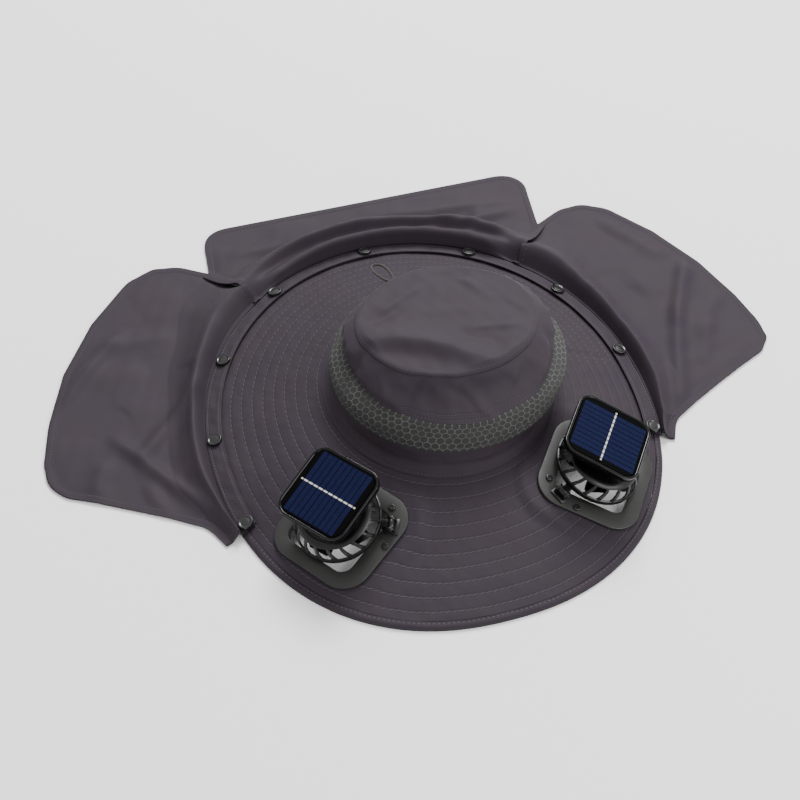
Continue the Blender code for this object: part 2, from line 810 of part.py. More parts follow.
def make_snaps():
    """Make the press-stud caps on the cape's band."""
    for index in range(SNAP_COUNT):
        angle = math.radians(SNAP_STEP_ANGLE * (index - (SNAP_COUNT - 1) / 2.0))
        inward = BAND_OVERHANG - 0.5 * BAND_WIDTH
        x, y = edge_point(angle, inward)
        step = 0.5 * SNAP_RADIUS
        slope_x = (band_height(x + step, y) - band_height(x - step, y)) / (2.0 * step)
        slope_y = (band_height(x, y + step) - band_height(x, y - step)) / (2.0 * step)
        base = band_height(x, y) + CLOTH + 2.0 * GAP
        rows = []
        for radius, height in ((0.97, 0.0), (1.0, 0.45), (0.80, 0.82), (0.50, 1.0)):
            rows.append((circle(radius * SNAP_RADIUS, SNAP_SIDES), height * SNAP_HEIGHT))
        snap = add_object(f"snap_{index + 1}", stacked(rows), "snap_black", smooth=True)
        normal = Vector((-slope_x, -slope_y, 1.0)).normalized()
        turn = normal.to_track_quat("Z", "Y").to_matrix().to_4x4()
        snap.matrix_world = Matrix.Translation((x, y, base)) @ turn


# Fans


def seat_matrix(side):
    """Return the frame of a fan's seat: x outward from the hat, z off the brim."""
    base, slope_x, slope_y = SEAT_PLANES[side]
    normal = Vector((-slope_x, -slope_y, 1.0)).normalized()
    outward = Vector((side, 0.0, side * slope_x)).normalized()
    around = normal.cross(outward)
    rotation = Matrix((outward, around, normal)).transposed().to_4x4()
    return Matrix.Translation((*FAN_PLACES[side], base)) @ rotation


def hinge_turn(side):
    """Return the seat angle of the direction from the fan's middle to its hinge."""
    return math.radians(180.0) + side * math.radians(HINGE_ANGLE)


def frame_outline(radius, side, shift):
    """Return a rounded rhombus, moved away from the hinge by a shift."""
    tip = math.atan2(FRAME_CORNER_X, FRAME_CORNER_Y)
    spin = Matrix.Rotation(side * math.radians(FRAME_TURN), 2)
    away = hinge_turn(side) + math.pi
    move = Vector((math.cos(away), math.sin(away))) * shift + Vector((0.0, -side * FRAME_FORWARD))
    corners = (
        (FRAME_CORNER_X, 0.0, 0.0, tip),
        (0.0, FRAME_CORNER_Y, 0.5 * math.pi, 0.5 * math.pi - tip),
        (-FRAME_CORNER_X, 0.0, math.pi, tip),
        (0.0, -FRAME_CORNER_Y, 1.5 * math.pi, 0.5 * math.pi - tip),
    )
    points = []
    for x, y, middle, half in corners:
        for step in range(FRAME_ARC_STEPS):
            turn = middle + half * (2.0 * step / (FRAME_ARC_STEPS - 1) - 1.0)
            point = Vector((x, y)) + Vector((math.cos(turn), math.sin(turn))) * radius
            point = spin @ point + move
            points.append((point.x, point.y))
    return points


def make_frame(side, seat):
    """Make the plate on the brim with the collar that passes through it."""
    name = SIDES[side]
    opening = FRAME_CORNER_RADIUS - FRAME_RIM_WIDTH
    top = GAP + FRAME_THICKNESS
    profile = (
        (FRAME_CORNER_RADIUS, 0.0, GAP),
        (FRAME_CORNER_RADIUS, 0.0, GAP + FRAME_EDGE),
        (FRAME_CORNER_RADIUS - FRAME_EDGE, 0.0, top),
        (opening + COLLAR_WALL, FRAME_SHIFT, top),
        (opening, FRAME_SHIFT, top - 0.5 * FRAME_EDGE),
        (opening, FRAME_SHIFT, -COLLAR_DEPTH),
        (opening + COLLAR_WALL, FRAME_SHIFT, -COLLAR_DEPTH),
        (opening + COLLAR_WALL, FRAME_SHIFT, GAP),
    )
    builder = bmesh.new()
    rows = []
    for radius, shift, height in profile:
        outline = frame_outline(radius, side, shift)
        rows.append([builder.verts.new((x, y, height)) for x, y in outline])
    rows.append(rows[0])
    count = len(rows[0])
    for row, following in zip(rows, rows[1:]):
        for index in range(count):
            after = (index + 1) % count
            builder.faces.new((row[index], row[after], following[after], following[index]))
    add_object("fan_frame_" + name, builder, "abs_grey", parent=seat, smooth=True)
    turn = hinge_turn(side)
    radial = Vector((math.cos(turn), math.sin(turn), 0.0))
    tangent = Vector((-radial.y, radial.x, 0.0))
    for letter, way in (("a", -1.0), ("b", 1.0)):
        dome = []
        for radius, height in ((1.0, 0.0), (1.0, 0.4), (0.72, 0.84), (0.35, 1.0)):
            dome.append((circle(radius * RIVET_RADIUS, 8), height * RIVET_HEIGHT))
        rivet = add_object(f"fan_rivet_{letter}_{name}", stacked(dome), "abs_black", seat, True)
        place = radial * (HINGE_OFFSET - RIVET_INSET) + tangent * (way * RIVET_SPREAD)
        rivet.location = place + Vector((0.0, 0.0, top + GAP))


def ear_outline():
    """Return the side view of a hinge ear: a foot with a round head, x then z."""
    foot = GAP + FRAME_THICKNESS + GAP + 0.5 * BRACKET_BASE - PIVOT_HEIGHT
    points = [(-EAR_RADIUS, foot), (EAR_RADIUS, foot)]
    for step in range(7):
        turn = math.pi * step / 6.0
        points.append((EAR_RADIUS * math.cos(turn), EAR_RADIUS * math.sin(turn)))
    return points


def along_y(outline, low, high):
    """Build a prism of an (x, z) outline between two y values."""
    return shell_between(
        [[Vector((x, high, z)) for x, z in outline]],
        [[Vector((x, low, z)) for x, z in outline]],
        closed=True,
        pole=True,
    )


def make_bracket(side, pivot):
    """Make the yoke on the plate, with the pin that the fan's arm turns on."""
    name = SIDES[side]
    half = 0.5 * KNUCKLE_WIDTH + GAP
    foot = GAP + FRAME_THICKNESS + GAP - PIVOT_HEIGHT
    reach = half + EAR_WALL
    low = (-EAR_RADIUS - EAR_WALL, -reach - 0.5 * EAR_WALL, foot)
    high = (EAR_RADIUS + 0.4 * EAR_WALL, reach + 0.5 * EAR_WALL, foot + BRACKET_BASE)
    bracket = add_object("fan_bracket_" + name, box(low, high), "abs_black", pivot)
    for label, start, end in (("low", -reach, -half), ("high", half, reach)):
        builder = along_y(ear_outline(), start, end)
        ear = add_object(f"ear_{label}_{name}", builder, "abs_black", pivot)
        add_boolean(bracket, as_tool(ear), "UNION")
    pin_reach = half + 0.5 * EAR_WALL
    builder = along_y(circle(PIN_RADIUS, 10), -pin_reach, pin_reach)
    pin = add_object("pin_" + name, builder, "abs_black", pivot)
    add_boolean(bracket, as_tool(pin), "UNION")


def make_cage(side, hinge, fan):
    """Make the cage: a ring, slanted ribs, a closed top and the hinge arm."""
    name = SIDES[side]
    half_rib = 0.5 * RIB_WIDTH / CAGE_RADIUS
    builder = bmesh.new()
    grid = []
    for level, (radius_share, height_share) in enumerate(CAGE_RINGS):
        twist = side * math.radians(RIB_TWIST) * min(max(level - 1, 0), 2)
        row = []
        for rib in range(CAGE_RIBS):
            middle = 2.0 * math.pi * (rib + 0.5) / CAGE_RIBS + twist
            for edge in (-half_rib, half_rib):
                radius = radius_share * CAGE_RADIUS
                place = (radius * math.cos(middle + edge), radius * math.sin(middle + edge))
                row.append(builder.verts.new((*place, height_share * CAGE_HEIGHT)))
        grid.append(row)
    count = len(grid[0])
    for level, (row, following) in enumerate(zip(grid, grid[1:])):
        for index in range(count):
            between_ribs = index % 2 == 1
            if level in (1, 2) and between_ribs:
                continue
            after = (index + 1) % count
            builder.faces.new((row[index], row[after], following[after], following[index]))
    builder.faces.new(grid[-1])
    cage = add_object("fan_cage_" + name, builder, "abs_black", fan, smooth=True)
    wall = cage.modifiers.new("wall", "SOLIDIFY")
    wall.thickness = CAGE_WALL
    wall.offset = -1.0
    arm_half = 0.5 * KNUCKLE_WIDTH
    reach = HINGE_OFFSET - CAGE_RADIUS + 0.6 * CAGE_WALL
    outline = [
        (reach, -KNUCKLE_RADIUS + FAN_LIFT + 0.5 * CAGE_WALL),
        (reach, KNUCKLE_RADIUS),
    ]
    for step in range(7):
        turn = math.pi * (0.5 + step / 6.0)
        outline.append((KNUCKLE_RADIUS * math.cos(turn), KNUCKLE_RADIUS * math.sin(turn)))
    arm = add_object("arm_" + name, along_y(outline, -arm_half, arm_half), "abs_black", hinge)
    add_boolean(cage, as_tool(arm), "UNION")
    bore = circle(PIN_RADIUS + 1.5 * GAP, 12)
    builder = along_y(bore, -2.0 * arm_half, 2.0 * arm_half)
    tool = add_object("arm_bore_" + name, builder, "abs_black", hinge)
    add_boolean(cage, as_tool(tool), "DIFFERENCE")
    return cage


def make_motor(side, fan):
    """Make the motor can under the cage's top."""
    top = CAGE_HEIGHT - CAGE_WALL - GAP
    rows = []
    for radius, height in ((0.85, 0.0), (1.0, 0.15), (1.0, 1.0)):
        rows.append((circle(radius * MOTOR_RADIUS, 12), top - MOTOR_HEIGHT * (1.0 - height)))
    add_object("fan_motor_" + SIDES[side], stacked(rows), "abs_black", fan, smooth=True)


def make_rotor(side, spin):
    """Make the rotor: a hub whose side faces grow into twisted blades."""
    sides = 4 * BLADES
    hub = circle(HUB_RADIUS, sides, 0.5)
    builder = stacked([(hub, 0.0), (hub, HUB_HEIGHT)])
    builder.faces.ensure_lookup_table()
    middle_z = 0.5 * HUB_HEIGHT
    for blade in range(BLADES):
        turn = 2.0 * math.pi * blade / BLADES
        radial = Vector((math.cos(turn), math.sin(turn), 0.0))
        tangent = Vector((-radial.y, radial.x, 0.0))
        root = max(
            (face for face in builder.faces if len(face.verts) == 4),
            key=lambda face: face.calc_center_median().xy.dot(radial.xy)
            if face.calc_center_median().length < 1.2 * HUB_RADIUS
            else -1.0,
        )
        for radius, chord, pitch in BLADE_SECTIONS:
            grown = bmesh.ops.extrude_discrete_faces(builder, faces=[root])
            root = grown["faces"][0]
            slant = math.radians(side * pitch)
            chord_way = tangent * math.cos(slant) + Vector((0.0, 0.0, math.sin(slant)))
            thick_way = radial.cross(chord_way)
            centre = radial * (radius * ROTOR_RADIUS) + Vector((0.0, 0.0, middle_z))
            corners = list(root.verts)
            corners.sort(key=lambda vertex: (vertex.co - centre).dot(chord_way))
            for group, chord_sign in ((corners[:2], -0.5), (corners[2:], 0.5)):
                group.sort(key=lambda vertex: (vertex.co - centre).dot(thick_way))
                for vertex, thick_sign in zip(group, (-0.5, 0.5)):
                    vertex.co = (
                        centre
                        + chord_way * (chord_sign * chord * ROTOR_RADIUS)
                        + thick_way * (thick_sign * BLADE_THICKNESS)
                    )
    add_object("fan_rotor_" + SIDES[side], builder, "abs_black", spin)


def square_outline(half, corner):
    """Return a rounded square outline."""
    points = []
    for quarter in range(4):
        middle = math.radians(45.0 + 90.0 * quarter)
        centre = Vector((math.cos(middle), math.sin(middle))) * (math.sqrt(2.0) * (half - corner))
        for step in range(5):
            turn = middle + math.radians(22.5 * (step - 2))
            point = centre + Vector((math.cos(turn), math.sin(turn))) * corner
            points.append((point.x, point.y))
    return points


def make_panel(side, fan):
    """Make the panel's post, its tray and the plate of cells in its recess."""
    name = SIDES[side]
    half = 0.5 * PANEL_SIDE
    post_base = CAGE_HEIGHT + GAP
    base = post_base + POST_HEIGHT + GAP
    hat_back = math.radians(HINGE_ANGLE)
    backward = Vector((math.sin(hat_back), side * math.cos(hat_back), 0.0))
    inward = Vector((-math.cos(hat_back), side * math.sin(hat_back), 0.0))
    set_back = backward * PANEL_SET_BACK + inward * PANEL_INWARD
    builder = bmesh.new()
    rows = []
    for lift, share, radius in POST_SECTIONS:
        centre = set_back * share + Vector((0.0, 0.0, post_base + lift * POST_HEIGHT))
        row = []
        for x, y in circle(radius * POST_RADIUS, POST_SIDES):
            row.append(builder.verts.new(centre + Vector((x, y, 0.0))))
        rows.append(row)
    for row, following in zip(rows, rows[1:]):
        for index in range(POST_SIDES):
            after = (index + 1) % POST_SIDES
            builder.faces.new((row[index], row[after], following[after], following[index]))
    builder.faces.new(rows[0])
    builder.faces.new(rows[-1])
    add_object("panel_post_" + name, builder, "abs_black", fan, smooth=True)
    rim = PANEL_RIM
    rows = []
    for inset, height in (
        (PANEL_CHAMFER, 0.0),
        (0.0, PANEL_CHAMFER),
        (0.0, PANEL_THICKNESS - PANEL_CHAMFER),
        (PANEL_CHAMFER, PANEL_THICKNESS),
        (rim, PANEL_THICKNESS),
        (rim + PANEL_CHAMFER, PANEL_THICKNESS - PANEL_RECESS),
    ):
        rows.append((square_outline(half - inset, PANEL_CORNER - inset), base + height))
    panel_turn = Matrix.Translation(set_back) @ Matrix.Rotation(math.radians(side * PANEL_TURN), 4, "Z")
    tray = add_object("panel_tray_" + name, stacked(rows), "gloss_black", fan, smooth=True)
    tray.matrix_local = panel_turn
    floor = base + PANEL_THICKNESS - PANEL_RECESS + GAP
    half_cell = 0.5 * CELL_SIDE
    plate = box((-half_cell, -half_cell, floor), (half_cell, half_cell, floor + CELL_THICKNESS))
    cells = add_object("panel_cells_" + name, plate, "cell_blue", fan)
    cells.matrix_local = panel_turn


def make_fan(side):
    """Make one fan with its seat, hinge, cage, rotor and panel."""
    name = SIDES[side]
    seat = add_empty("fan_seat_" + name, seat_matrix(side))
    make_frame(side, seat)
    turn = hinge_turn(side)
    radial = Vector((math.cos(turn), math.sin(turn), 0.0))
    pivot_place = radial * HINGE_OFFSET + Vector((0.0, 0.0, PIVOT_HEIGHT))
    inward = Matrix.Rotation(turn + math.pi, 4, "Z")
    pivot = add_empty("fan_pivot_" + name, Matrix.Translation(pivot_place) @ inward, seat)
    make_bracket(side, pivot)
    lean = Matrix.Rotation(math.radians(FAN_LEAN), 4, "Y")
    hinge = add_empty("fan_hinge_" + name, lean, pivot)
    fan = add_empty("fan_" + name, Matrix.Translation((HINGE_OFFSET, 0.0, FAN_LIFT)), hinge)
    make_cage(side, hinge, fan)
    make_motor(side, fan)
    hub_base = CAGE_HEIGHT - CAGE_WALL - GAP - MOTOR_HEIGHT - ROTOR_CLEARANCE - HUB_HEIGHT
    spin = add_empty("fan_spin_" + name, Matrix.Translation((0.0, 0.0, hub_base)), fan)
    make_rotor(side, spin)
    make_panel(side, fan)


def main():
    """Clear the scene and make the hat."""
    for item in list(bpy.data.objects):
        bpy.data.objects.remove(item, do_unlink=True)
    make_brim()
    make_binding()
    make_crown_band("crown_base_band", BASE_SECTIONS, "nylon")
    make_crown_band("crown_mesh_band", MESH_SECTIONS, "mesh")
    make_crown_band("crown_upper_band", UPPER_SECTIONS, "nylon")
    make_crown_top()
    make_crown_loop()
    make_cape()
    make_snaps()
    for side in SIDES:
        make_fan(side)


main()
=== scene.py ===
"""Looks of a laid-out sun hat with two solar fans in its brim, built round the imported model.

Metres, +Z up, the front of the brim towards -Y. Left is -X and right is +X.
"""

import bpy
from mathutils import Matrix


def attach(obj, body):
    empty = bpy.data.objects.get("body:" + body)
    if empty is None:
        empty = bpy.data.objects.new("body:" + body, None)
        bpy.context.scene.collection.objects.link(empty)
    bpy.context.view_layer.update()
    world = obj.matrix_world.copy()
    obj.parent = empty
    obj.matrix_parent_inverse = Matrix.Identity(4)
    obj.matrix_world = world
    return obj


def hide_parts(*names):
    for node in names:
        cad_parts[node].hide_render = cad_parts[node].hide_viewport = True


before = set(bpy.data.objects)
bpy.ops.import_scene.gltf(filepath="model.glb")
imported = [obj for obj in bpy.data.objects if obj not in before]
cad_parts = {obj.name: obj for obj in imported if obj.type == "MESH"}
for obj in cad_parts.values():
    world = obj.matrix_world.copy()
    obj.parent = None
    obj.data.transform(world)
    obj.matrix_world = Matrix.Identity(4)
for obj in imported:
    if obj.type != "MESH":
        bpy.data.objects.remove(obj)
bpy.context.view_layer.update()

import logging
import math
from dataclasses import dataclass, field
from enum import Enum
from typing import Callable, Sequence

import bmesh
import bpy
import numpy as np
from mathutils import Matrix, Vector

Array = np.ndarray
Section = tuple[float, ...]
MM = 0.001
HAT = "hat"
log = logging.getLogger("sun_hat")


class Side(Enum):
    """The two sides of the hat, as the viewer sees them."""

    LEFT = -1
    RIGHT = 1

    @property
    def label(self) -> str:
        """Return the side's name in the pieces' names."""
        return self.name.lower()


# Colours and materials


def linear(code: str) -> tuple[float, float, float, float]:
    """Turn an sRGB hex colour to linear light.

    Args:
        code: six hex digits.

    Returns:
        Red, green, blue and an alpha of one.
    """
    shares = [int(code[start : start + 2], 16) / 255.0 for start in (0, 2, 4)]
    lit = [s / 12.92 if s <= 0.04045 else ((s + 0.055) / 1.055) ** 2.4 for s in shares]
    return lit[0], lit[1], lit[2], 1.0


def add_node(
    tree: bpy.types.NodeTree,
    kind: str,
    settings: dict[str, object] | None = None,
    inputs: dict[str | int, object] | None = None,
) -> bpy.types.Node:
    """Add a shader node with its settings, values and links.

    Args:
        tree: the material's node tree.
        kind: the node's type.
        settings: properties of the node, by name.
        inputs: values or output sockets for its inputs, by name or number.

    Returns:
        The node.
    """
    made = tree.nodes.new(kind)
    for name, value in (settings or {}).items():
        setattr(made, name, value)
    for name, value in (inputs or {}).items():
        if isinstance(value, bpy.types.NodeSocket):
            tree.links.new(value, made.inputs[name])
        else:
            made.inputs[name].default_value = value
    return made


def blank_material(name: str) -> tuple[bpy.types.Material, bpy.types.NodeTree, bpy.types.Node]:
    """Start a material.

    Args:
        name: the finish's name.

    Returns:
        The material, its node tree and its Principled BSDF.
    """
    material = bpy.data.materials.new(name)
    material.use_nodes = True
    tree = material.node_tree
    return material, tree, tree.nodes["Principled BSDF"]


EASED = {"interpolation_type": "SMOOTHSTEP", "clamp": True}


@dataclass(frozen=True)
class Stitching:
    """Rows of thread on a cloth piece, read from its seam UV map in metres."""

    rows: tuple[float, ...] = ()
    pitch: float = 0.0
    stitch: float = 3.2 * MM
    width: float = 0.75 * MM
    groove: float = 1.8 * MM


@dataclass(frozen=True)
class Nylon:
    """Woven nylon taffeta, calendered, so that it has a soft sheen and a fine even weave."""

    name: str
    colour: str = "312A33"
    tint: str = "332C32"
    thread: str = "443F47"
    stitching: Stitching = field(default_factory=Stitching)
    weave: float = 0.9 * MM
    roughness: float = 0.70

    def make(self) -> bpy.types.Material:
        """Build the material: weave, uneven dye, thread and the groove that it pulls in."""
        material, tree, shader = blank_material(self.name)
        place = add_node(tree, "ShaderNodeTexCoord").outputs["Object"]
        # The dye takes unevenly over a few centimetres
        patches = add_node(
            tree, "ShaderNodeTexNoise", inputs={"Vector": place, "Scale": 22.0, "Detail": 3.0}
        )
        share = add_node(
            tree,
            "ShaderNodeMapRange",
            EASED,
            {
                "Value": patches.outputs["Fac"],
                "From Min": 0.35,
                "From Max": 0.68,
                "To Min": 0.0,
                "To Max": 1.0,
            },
        ).outputs["Result"]
        base = add_node(
            tree,
            "ShaderNodeMix",
            {"data_type": "RGBA"},
            {"Factor": share, 6: linear(self.colour), 7: linear(self.tint)},
        ).outputs[2]
        # Threads lie 0.3 mm apart and are drawn three times coarser, so that they show
        turned = add_node(
            tree, "ShaderNodeMapping", inputs={"Vector": place, "Rotation": (0.0, 0.0, 0.35)}
        ).outputs[0]
        waves = []
        for direction in ("X", "Y"):
            wave = add_node(
                tree,
                "ShaderNodeTexWave",
                {"bands_direction": direction},
                {"Vector": turned, "Scale": 0.314 / self.weave, "Distortion": 0.6, "Detail": 1.0},
            )
            waves.append(wave.outputs["Fac"])
        woven = add_node(
            tree, "ShaderNodeMath", {"operation": "MAXIMUM"}, {0: waves[0], 1: waves[1]}
        ).outputs[0]
        grain = add_node(
            tree, "ShaderNodeTexNoise", inputs={"Vector": place, "Scale": 420.0, "Detail": 2.0}
        )
        fuzz = add_node(
            tree, "ShaderNodeMath", {"operation": "MULTIPLY"}, {0: grain.outputs["Fac"], 1: 0.05}
        ).outputs[0]
        weave = add_node(
            tree, "ShaderNodeMath", {"operation": "MULTIPLY"}, {0: woven, 1: 0.018}
        ).outputs[0]
        height = add_node(tree, "ShaderNodeMath", {"operation": "ADD"}, {0: fuzz, 1: weave}).outputs[0]
        colour = base
        if self.stitching.rows or self.stitching.pitch:
            colour, height = self._sew(tree, base, height)
        normal = add_node(
            tree, "ShaderNodeBump", inputs={"Strength": 0.7, "Distance": MM, "Height": height}
        ).outputs["Normal"]
        tree.links.new(colour, shader.inputs["Base Color"])
        tree.links.new(normal, shader.inputs["Normal"])
        shader.inputs["Roughness"].default_value = self.roughness
        shader.inputs["IOR"].default_value = 1.5
        shader.inputs["Specular IOR Level"].default_value = 0.16
        return material

    def _sew(
        self, tree: bpy.types.NodeTree, base: bpy.types.NodeSocket, height: bpy.types.NodeSocket
    ) -> tuple[bpy.types.NodeSocket, bpy.types.NodeSocket]:
        """Lay the stitches over the weave, with painted shade along the groove that they pull in.

        Args:
            tree: the material's node tree.
            base: the cloth's colour.
            height: the cloth's relief in millimetres.

        Returns:
            The colour and the relief with the thread and its groove.
        """
        sewing = self.stitching
        uv = add_node(tree, "ShaderNodeUVMap", {"uv_map": "seam"}).outputs["UV"]
        parts = add_node(tree, "ShaderNodeSeparateXYZ", inputs={"Vector": uv})
        along, across = parts.outputs["X"], parts.outputs["Y"]
        distance = None
        if sewing.pitch:
            distance = add_node(
                tree, "ShaderNodeMath", {"operation": "PINGPONG"}, {0: across, 1: 0.5 * sewing.pitch}
            ).outputs[0]
        for row in sewing.rows:
            away = add_node(
                tree,
                "ShaderNodeMath",
                {"operation": "ABSOLUTE"},
                {
                    0: add_node(
                        tree, "ShaderNodeMath", {"operation": "SUBTRACT"}, {0: across, 1: row}
                    ).outputs[0],
                },
            ).outputs[0]
            if distance is None:
                distance = away
                continue
            distance = add_node(
                tree, "ShaderNodeMath", {"operation": "MINIMUM"}, {0: distance, 1: away}
            ).outputs[0]
        line = add_node(
            tree,
            "ShaderNodeMapRange",
            EASED,
            {
                "Value": distance,
                "From Min": 0.45 * sewing.width,
                "From Max": 0.75 * sewing.width,
                "To Min": 1.0,
                "To Max": 0.0,
            },
        ).outputs["Result"]
        beat = add_node(
            tree, "ShaderNodeMath", {"operation": "PINGPONG"}, {0: along, 1: 0.5 * sewing.stitch}
        ).outputs[0]
        dash = add_node(
            tree,
            "ShaderNodeMapRange",
            EASED,
            {
                "Value": beat,
                "From Min": 0.12 * sewing.stitch,
                "From Max": 0.22 * sewing.stitch,
                "To Min": 0.0,
                "To Max": 1.0,
            },
        ).outputs["Result"]
        thread = add_node(
            tree, "ShaderNodeMath", {"operation": "MULTIPLY"}, {0: line, 1: dash}
        ).outputs[0]
        groove = add_node(
            tree,
            "ShaderNodeMapRange",
            EASED,
            {
                "Value": distance,
                "From Min": 0.0,
                "From Max": sewing.groove,
                "To Min": 1.0,
                "To Max": 0.0,
            },
        ).outputs["Result"]
        # Painted shade: the cloth colour is darkened to 0.86 along the groove that the thread pulls in
        shade = add_node(
            tree,
            "ShaderNodeMapRange",
            EASED,
            {"Value": groove, "From Min": 0.0, "From Max": 1.0, "To Min": 1.0, "To Max": 0.86},
        ).outputs["Result"]
        shaded = add_node(
            tree,
            "ShaderNodeMix",
            {"data_type": "RGBA", "blend_type": "MULTIPLY"},
            {
                "Factor": 1.0,
                6: base,
                7: add_node(
                    tree, "ShaderNodeCombineColor", inputs={0: shade, 1: shade, 2: shade}
                ).outputs[0],
            },
        ).outputs[2]
        colour = add_node(
            tree,
            "ShaderNodeMix",
            {"data_type": "RGBA"},
            {"Factor": thread, 6: shaded, 7: linear(self.thread)},
        ).outputs[2]
        sunk = add_node(
            tree, "ShaderNodeMath", {"operation": "MULTIPLY"}, {0: groove, 1: -0.22}
        ).outputs[0]
        raised = add_node(
            tree, "ShaderNodeMath", {"operation": "MULTIPLY"}, {0: thread, 1: 0.3}
        ).outputs[0]
        height = add_node(
            tree,
            "ShaderNodeMath",
            {"operation": "ADD"},
            {
                0: height,
                1: add_node(
                    tree, "ShaderNodeMath", {"operation": "ADD"}, {0: sunk, 1: raised}
                ).outputs[0],
            },
        ).outputs[0]
        return colour, height


@dataclass(frozen=True)
class HoneycombMesh:
    """Warp-knitted polyester spacer mesh: pale six-sided cell walls on a dark knit ground."""

    name: str = "honeycomb_polyester_mesh"
    wall: str = "5C5D5B"
    ground: str = "1F1F1F"
    cell: float = 6.2 * MM

    def make(self) -> bpy.types.Material:
        """Build the material from the nearest cell's middle on two offset grids."""
        material, tree, shader = blank_material(self.name)
        uv = add_node(tree, "ShaderNodeUVMap", {"uv_map": "seam"}).outputs["UV"]
        scaled = add_node(
            tree, "ShaderNodeVectorMath", {"operation": "SCALE"}, {0: uv, "Scale": 1.0 / self.cell}
        ).outputs[0]
        half = (0.5, 0.5 * math.sqrt(3.0), 0.5)
        cells = []
        for shift in ((0.0, 0.0, 0.0), half):
            moved = add_node(
                tree, "ShaderNodeVectorMath", {"operation": "SUBTRACT"}, {0: scaled, 1: shift}
            )
            wrapped = add_node(
                tree,
                "ShaderNodeVectorMath",
                {"operation": "WRAP"},
                {0: moved.outputs[0], 1: half, 2: tuple(-value for value in half)},
            ).outputs[0]
            flat = add_node(
                tree, "ShaderNodeVectorMath", {"operation": "MULTIPLY"}, {0: wrapped, 1: (1.0, 1.0, 0.0)}
            ).outputs[0]
            length = add_node(
                tree, "ShaderNodeVectorMath", {"operation": "LENGTH"}, {0: flat}
            ).outputs["Value"]
            cells.append((flat, length))
        first = add_node(
            tree, "ShaderNodeMath", {"operation": "LESS_THAN"}, {0: cells[0][1], 1: cells[1][1]}
        ).outputs[0]
        nearest = add_node(
            tree,
            "ShaderNodeMix",
            {"data_type": "VECTOR"},
            {"Factor": first, 4: cells[1][0], 5: cells[0][0]},
        ).outputs[1]
        folded = add_node(
            tree, "ShaderNodeVectorMath", {"operation": "ABSOLUTE"}, {0: nearest}
        ).outputs[0]
        slant = add_node(
            tree,
            "ShaderNodeVectorMath",
            {"operation": "DOT_PRODUCT"},
            {0: folded, 1: (0.5, 0.5 * math.sqrt(3.0), 0.0)},
        ).outputs["Value"]
        upright = add_node(tree, "ShaderNodeSeparateXYZ", inputs={"Vector": folded}).outputs["X"]
        reach = add_node(
            tree, "ShaderNodeMath", {"operation": "MAXIMUM"}, {0: slant, 1: upright}
        ).outputs[0]
        wall = add_node(
            tree,
            "ShaderNodeMapRange",
            EASED,
            {"Value": reach, "From Min": 0.415, "From Max": 0.47, "To Min": 0.0, "To Max": 1.0},
        ).outputs["Result"]
        place = add_node(tree, "ShaderNodeTexCoord").outputs["Object"]
        knit = add_node(
            tree, "ShaderNodeTexNoise", inputs={"Vector": place, "Scale": 900.0, "Detail": 2.0}
        )
        uneven = add_node(
            tree, "ShaderNodeTexNoise", inputs={"Vector": place, "Scale": 60.0, "Detail": 2.0}
        )
        wall = add_node(
            tree,
            "ShaderNodeMath",
            {"operation": "MULTIPLY"},
            {
                0: wall,
                1: add_node(
                    tree,
                    "ShaderNodeMapRange",
                    EASED,
                    {
                        "Value": uneven.outputs["Fac"],
                        "From Min": 0.25,
                        "From Max": 0.65,
                        "To Min": 0.45,
                        "To Max": 1.0,
                    },
                ).outputs["Result"],
            },
        ).outputs[0]
        fuzz = add_node(
            tree, "ShaderNodeMath", {"operation": "MULTIPLY"}, {0: knit.outputs["Fac"], 1: 0.35}
        ).outputs[0]
        colour = add_node(
            tree,
            "ShaderNodeMix",
            {"data_type": "RGBA"},
            {
                "Factor": add_node(
                    tree,
                    "ShaderNodeMath",
                    {"operation": "ADD"},
                    {
                        0: add_node(
                            tree, "ShaderNodeMath", {"operation": "MULTIPLY"}, {0: wall, 1: 0.8}
                        ).outputs[0],
                        1: fuzz,
                    },
                ).outputs[0],
                6: linear(self.ground),
                7: linear(self.wall),
            },
        ).outputs[2]
        height = add_node(
            tree,
            "ShaderNodeMath",
            {"operation": "ADD"},
            {
                0: add_node(
                    tree, "ShaderNodeMath", {"operation": "MULTIPLY"}, {0: wall, 1: 0.5}
                ).outputs[0],
                1: add_node(
                    tree, "ShaderNodeMath", {"operation": "MULTIPLY"}, {0: knit.outputs["Fac"], 1: 0.3}
                ).outputs[0],
            },
        ).outputs[0]
        normal = add_node(
            tree, "ShaderNodeBump", inputs={"Strength": 0.8, "Distance": MM, "Height": height}
        ).outputs["Normal"]
        tree.links.new(colour, shader.inputs["Base Color"])
        tree.links.new(normal, shader.inputs["Normal"])
        shader.inputs["Roughness"].default_value = 0.85
        shader.inputs["Specular IOR Level"].default_value = 0.3
        return material


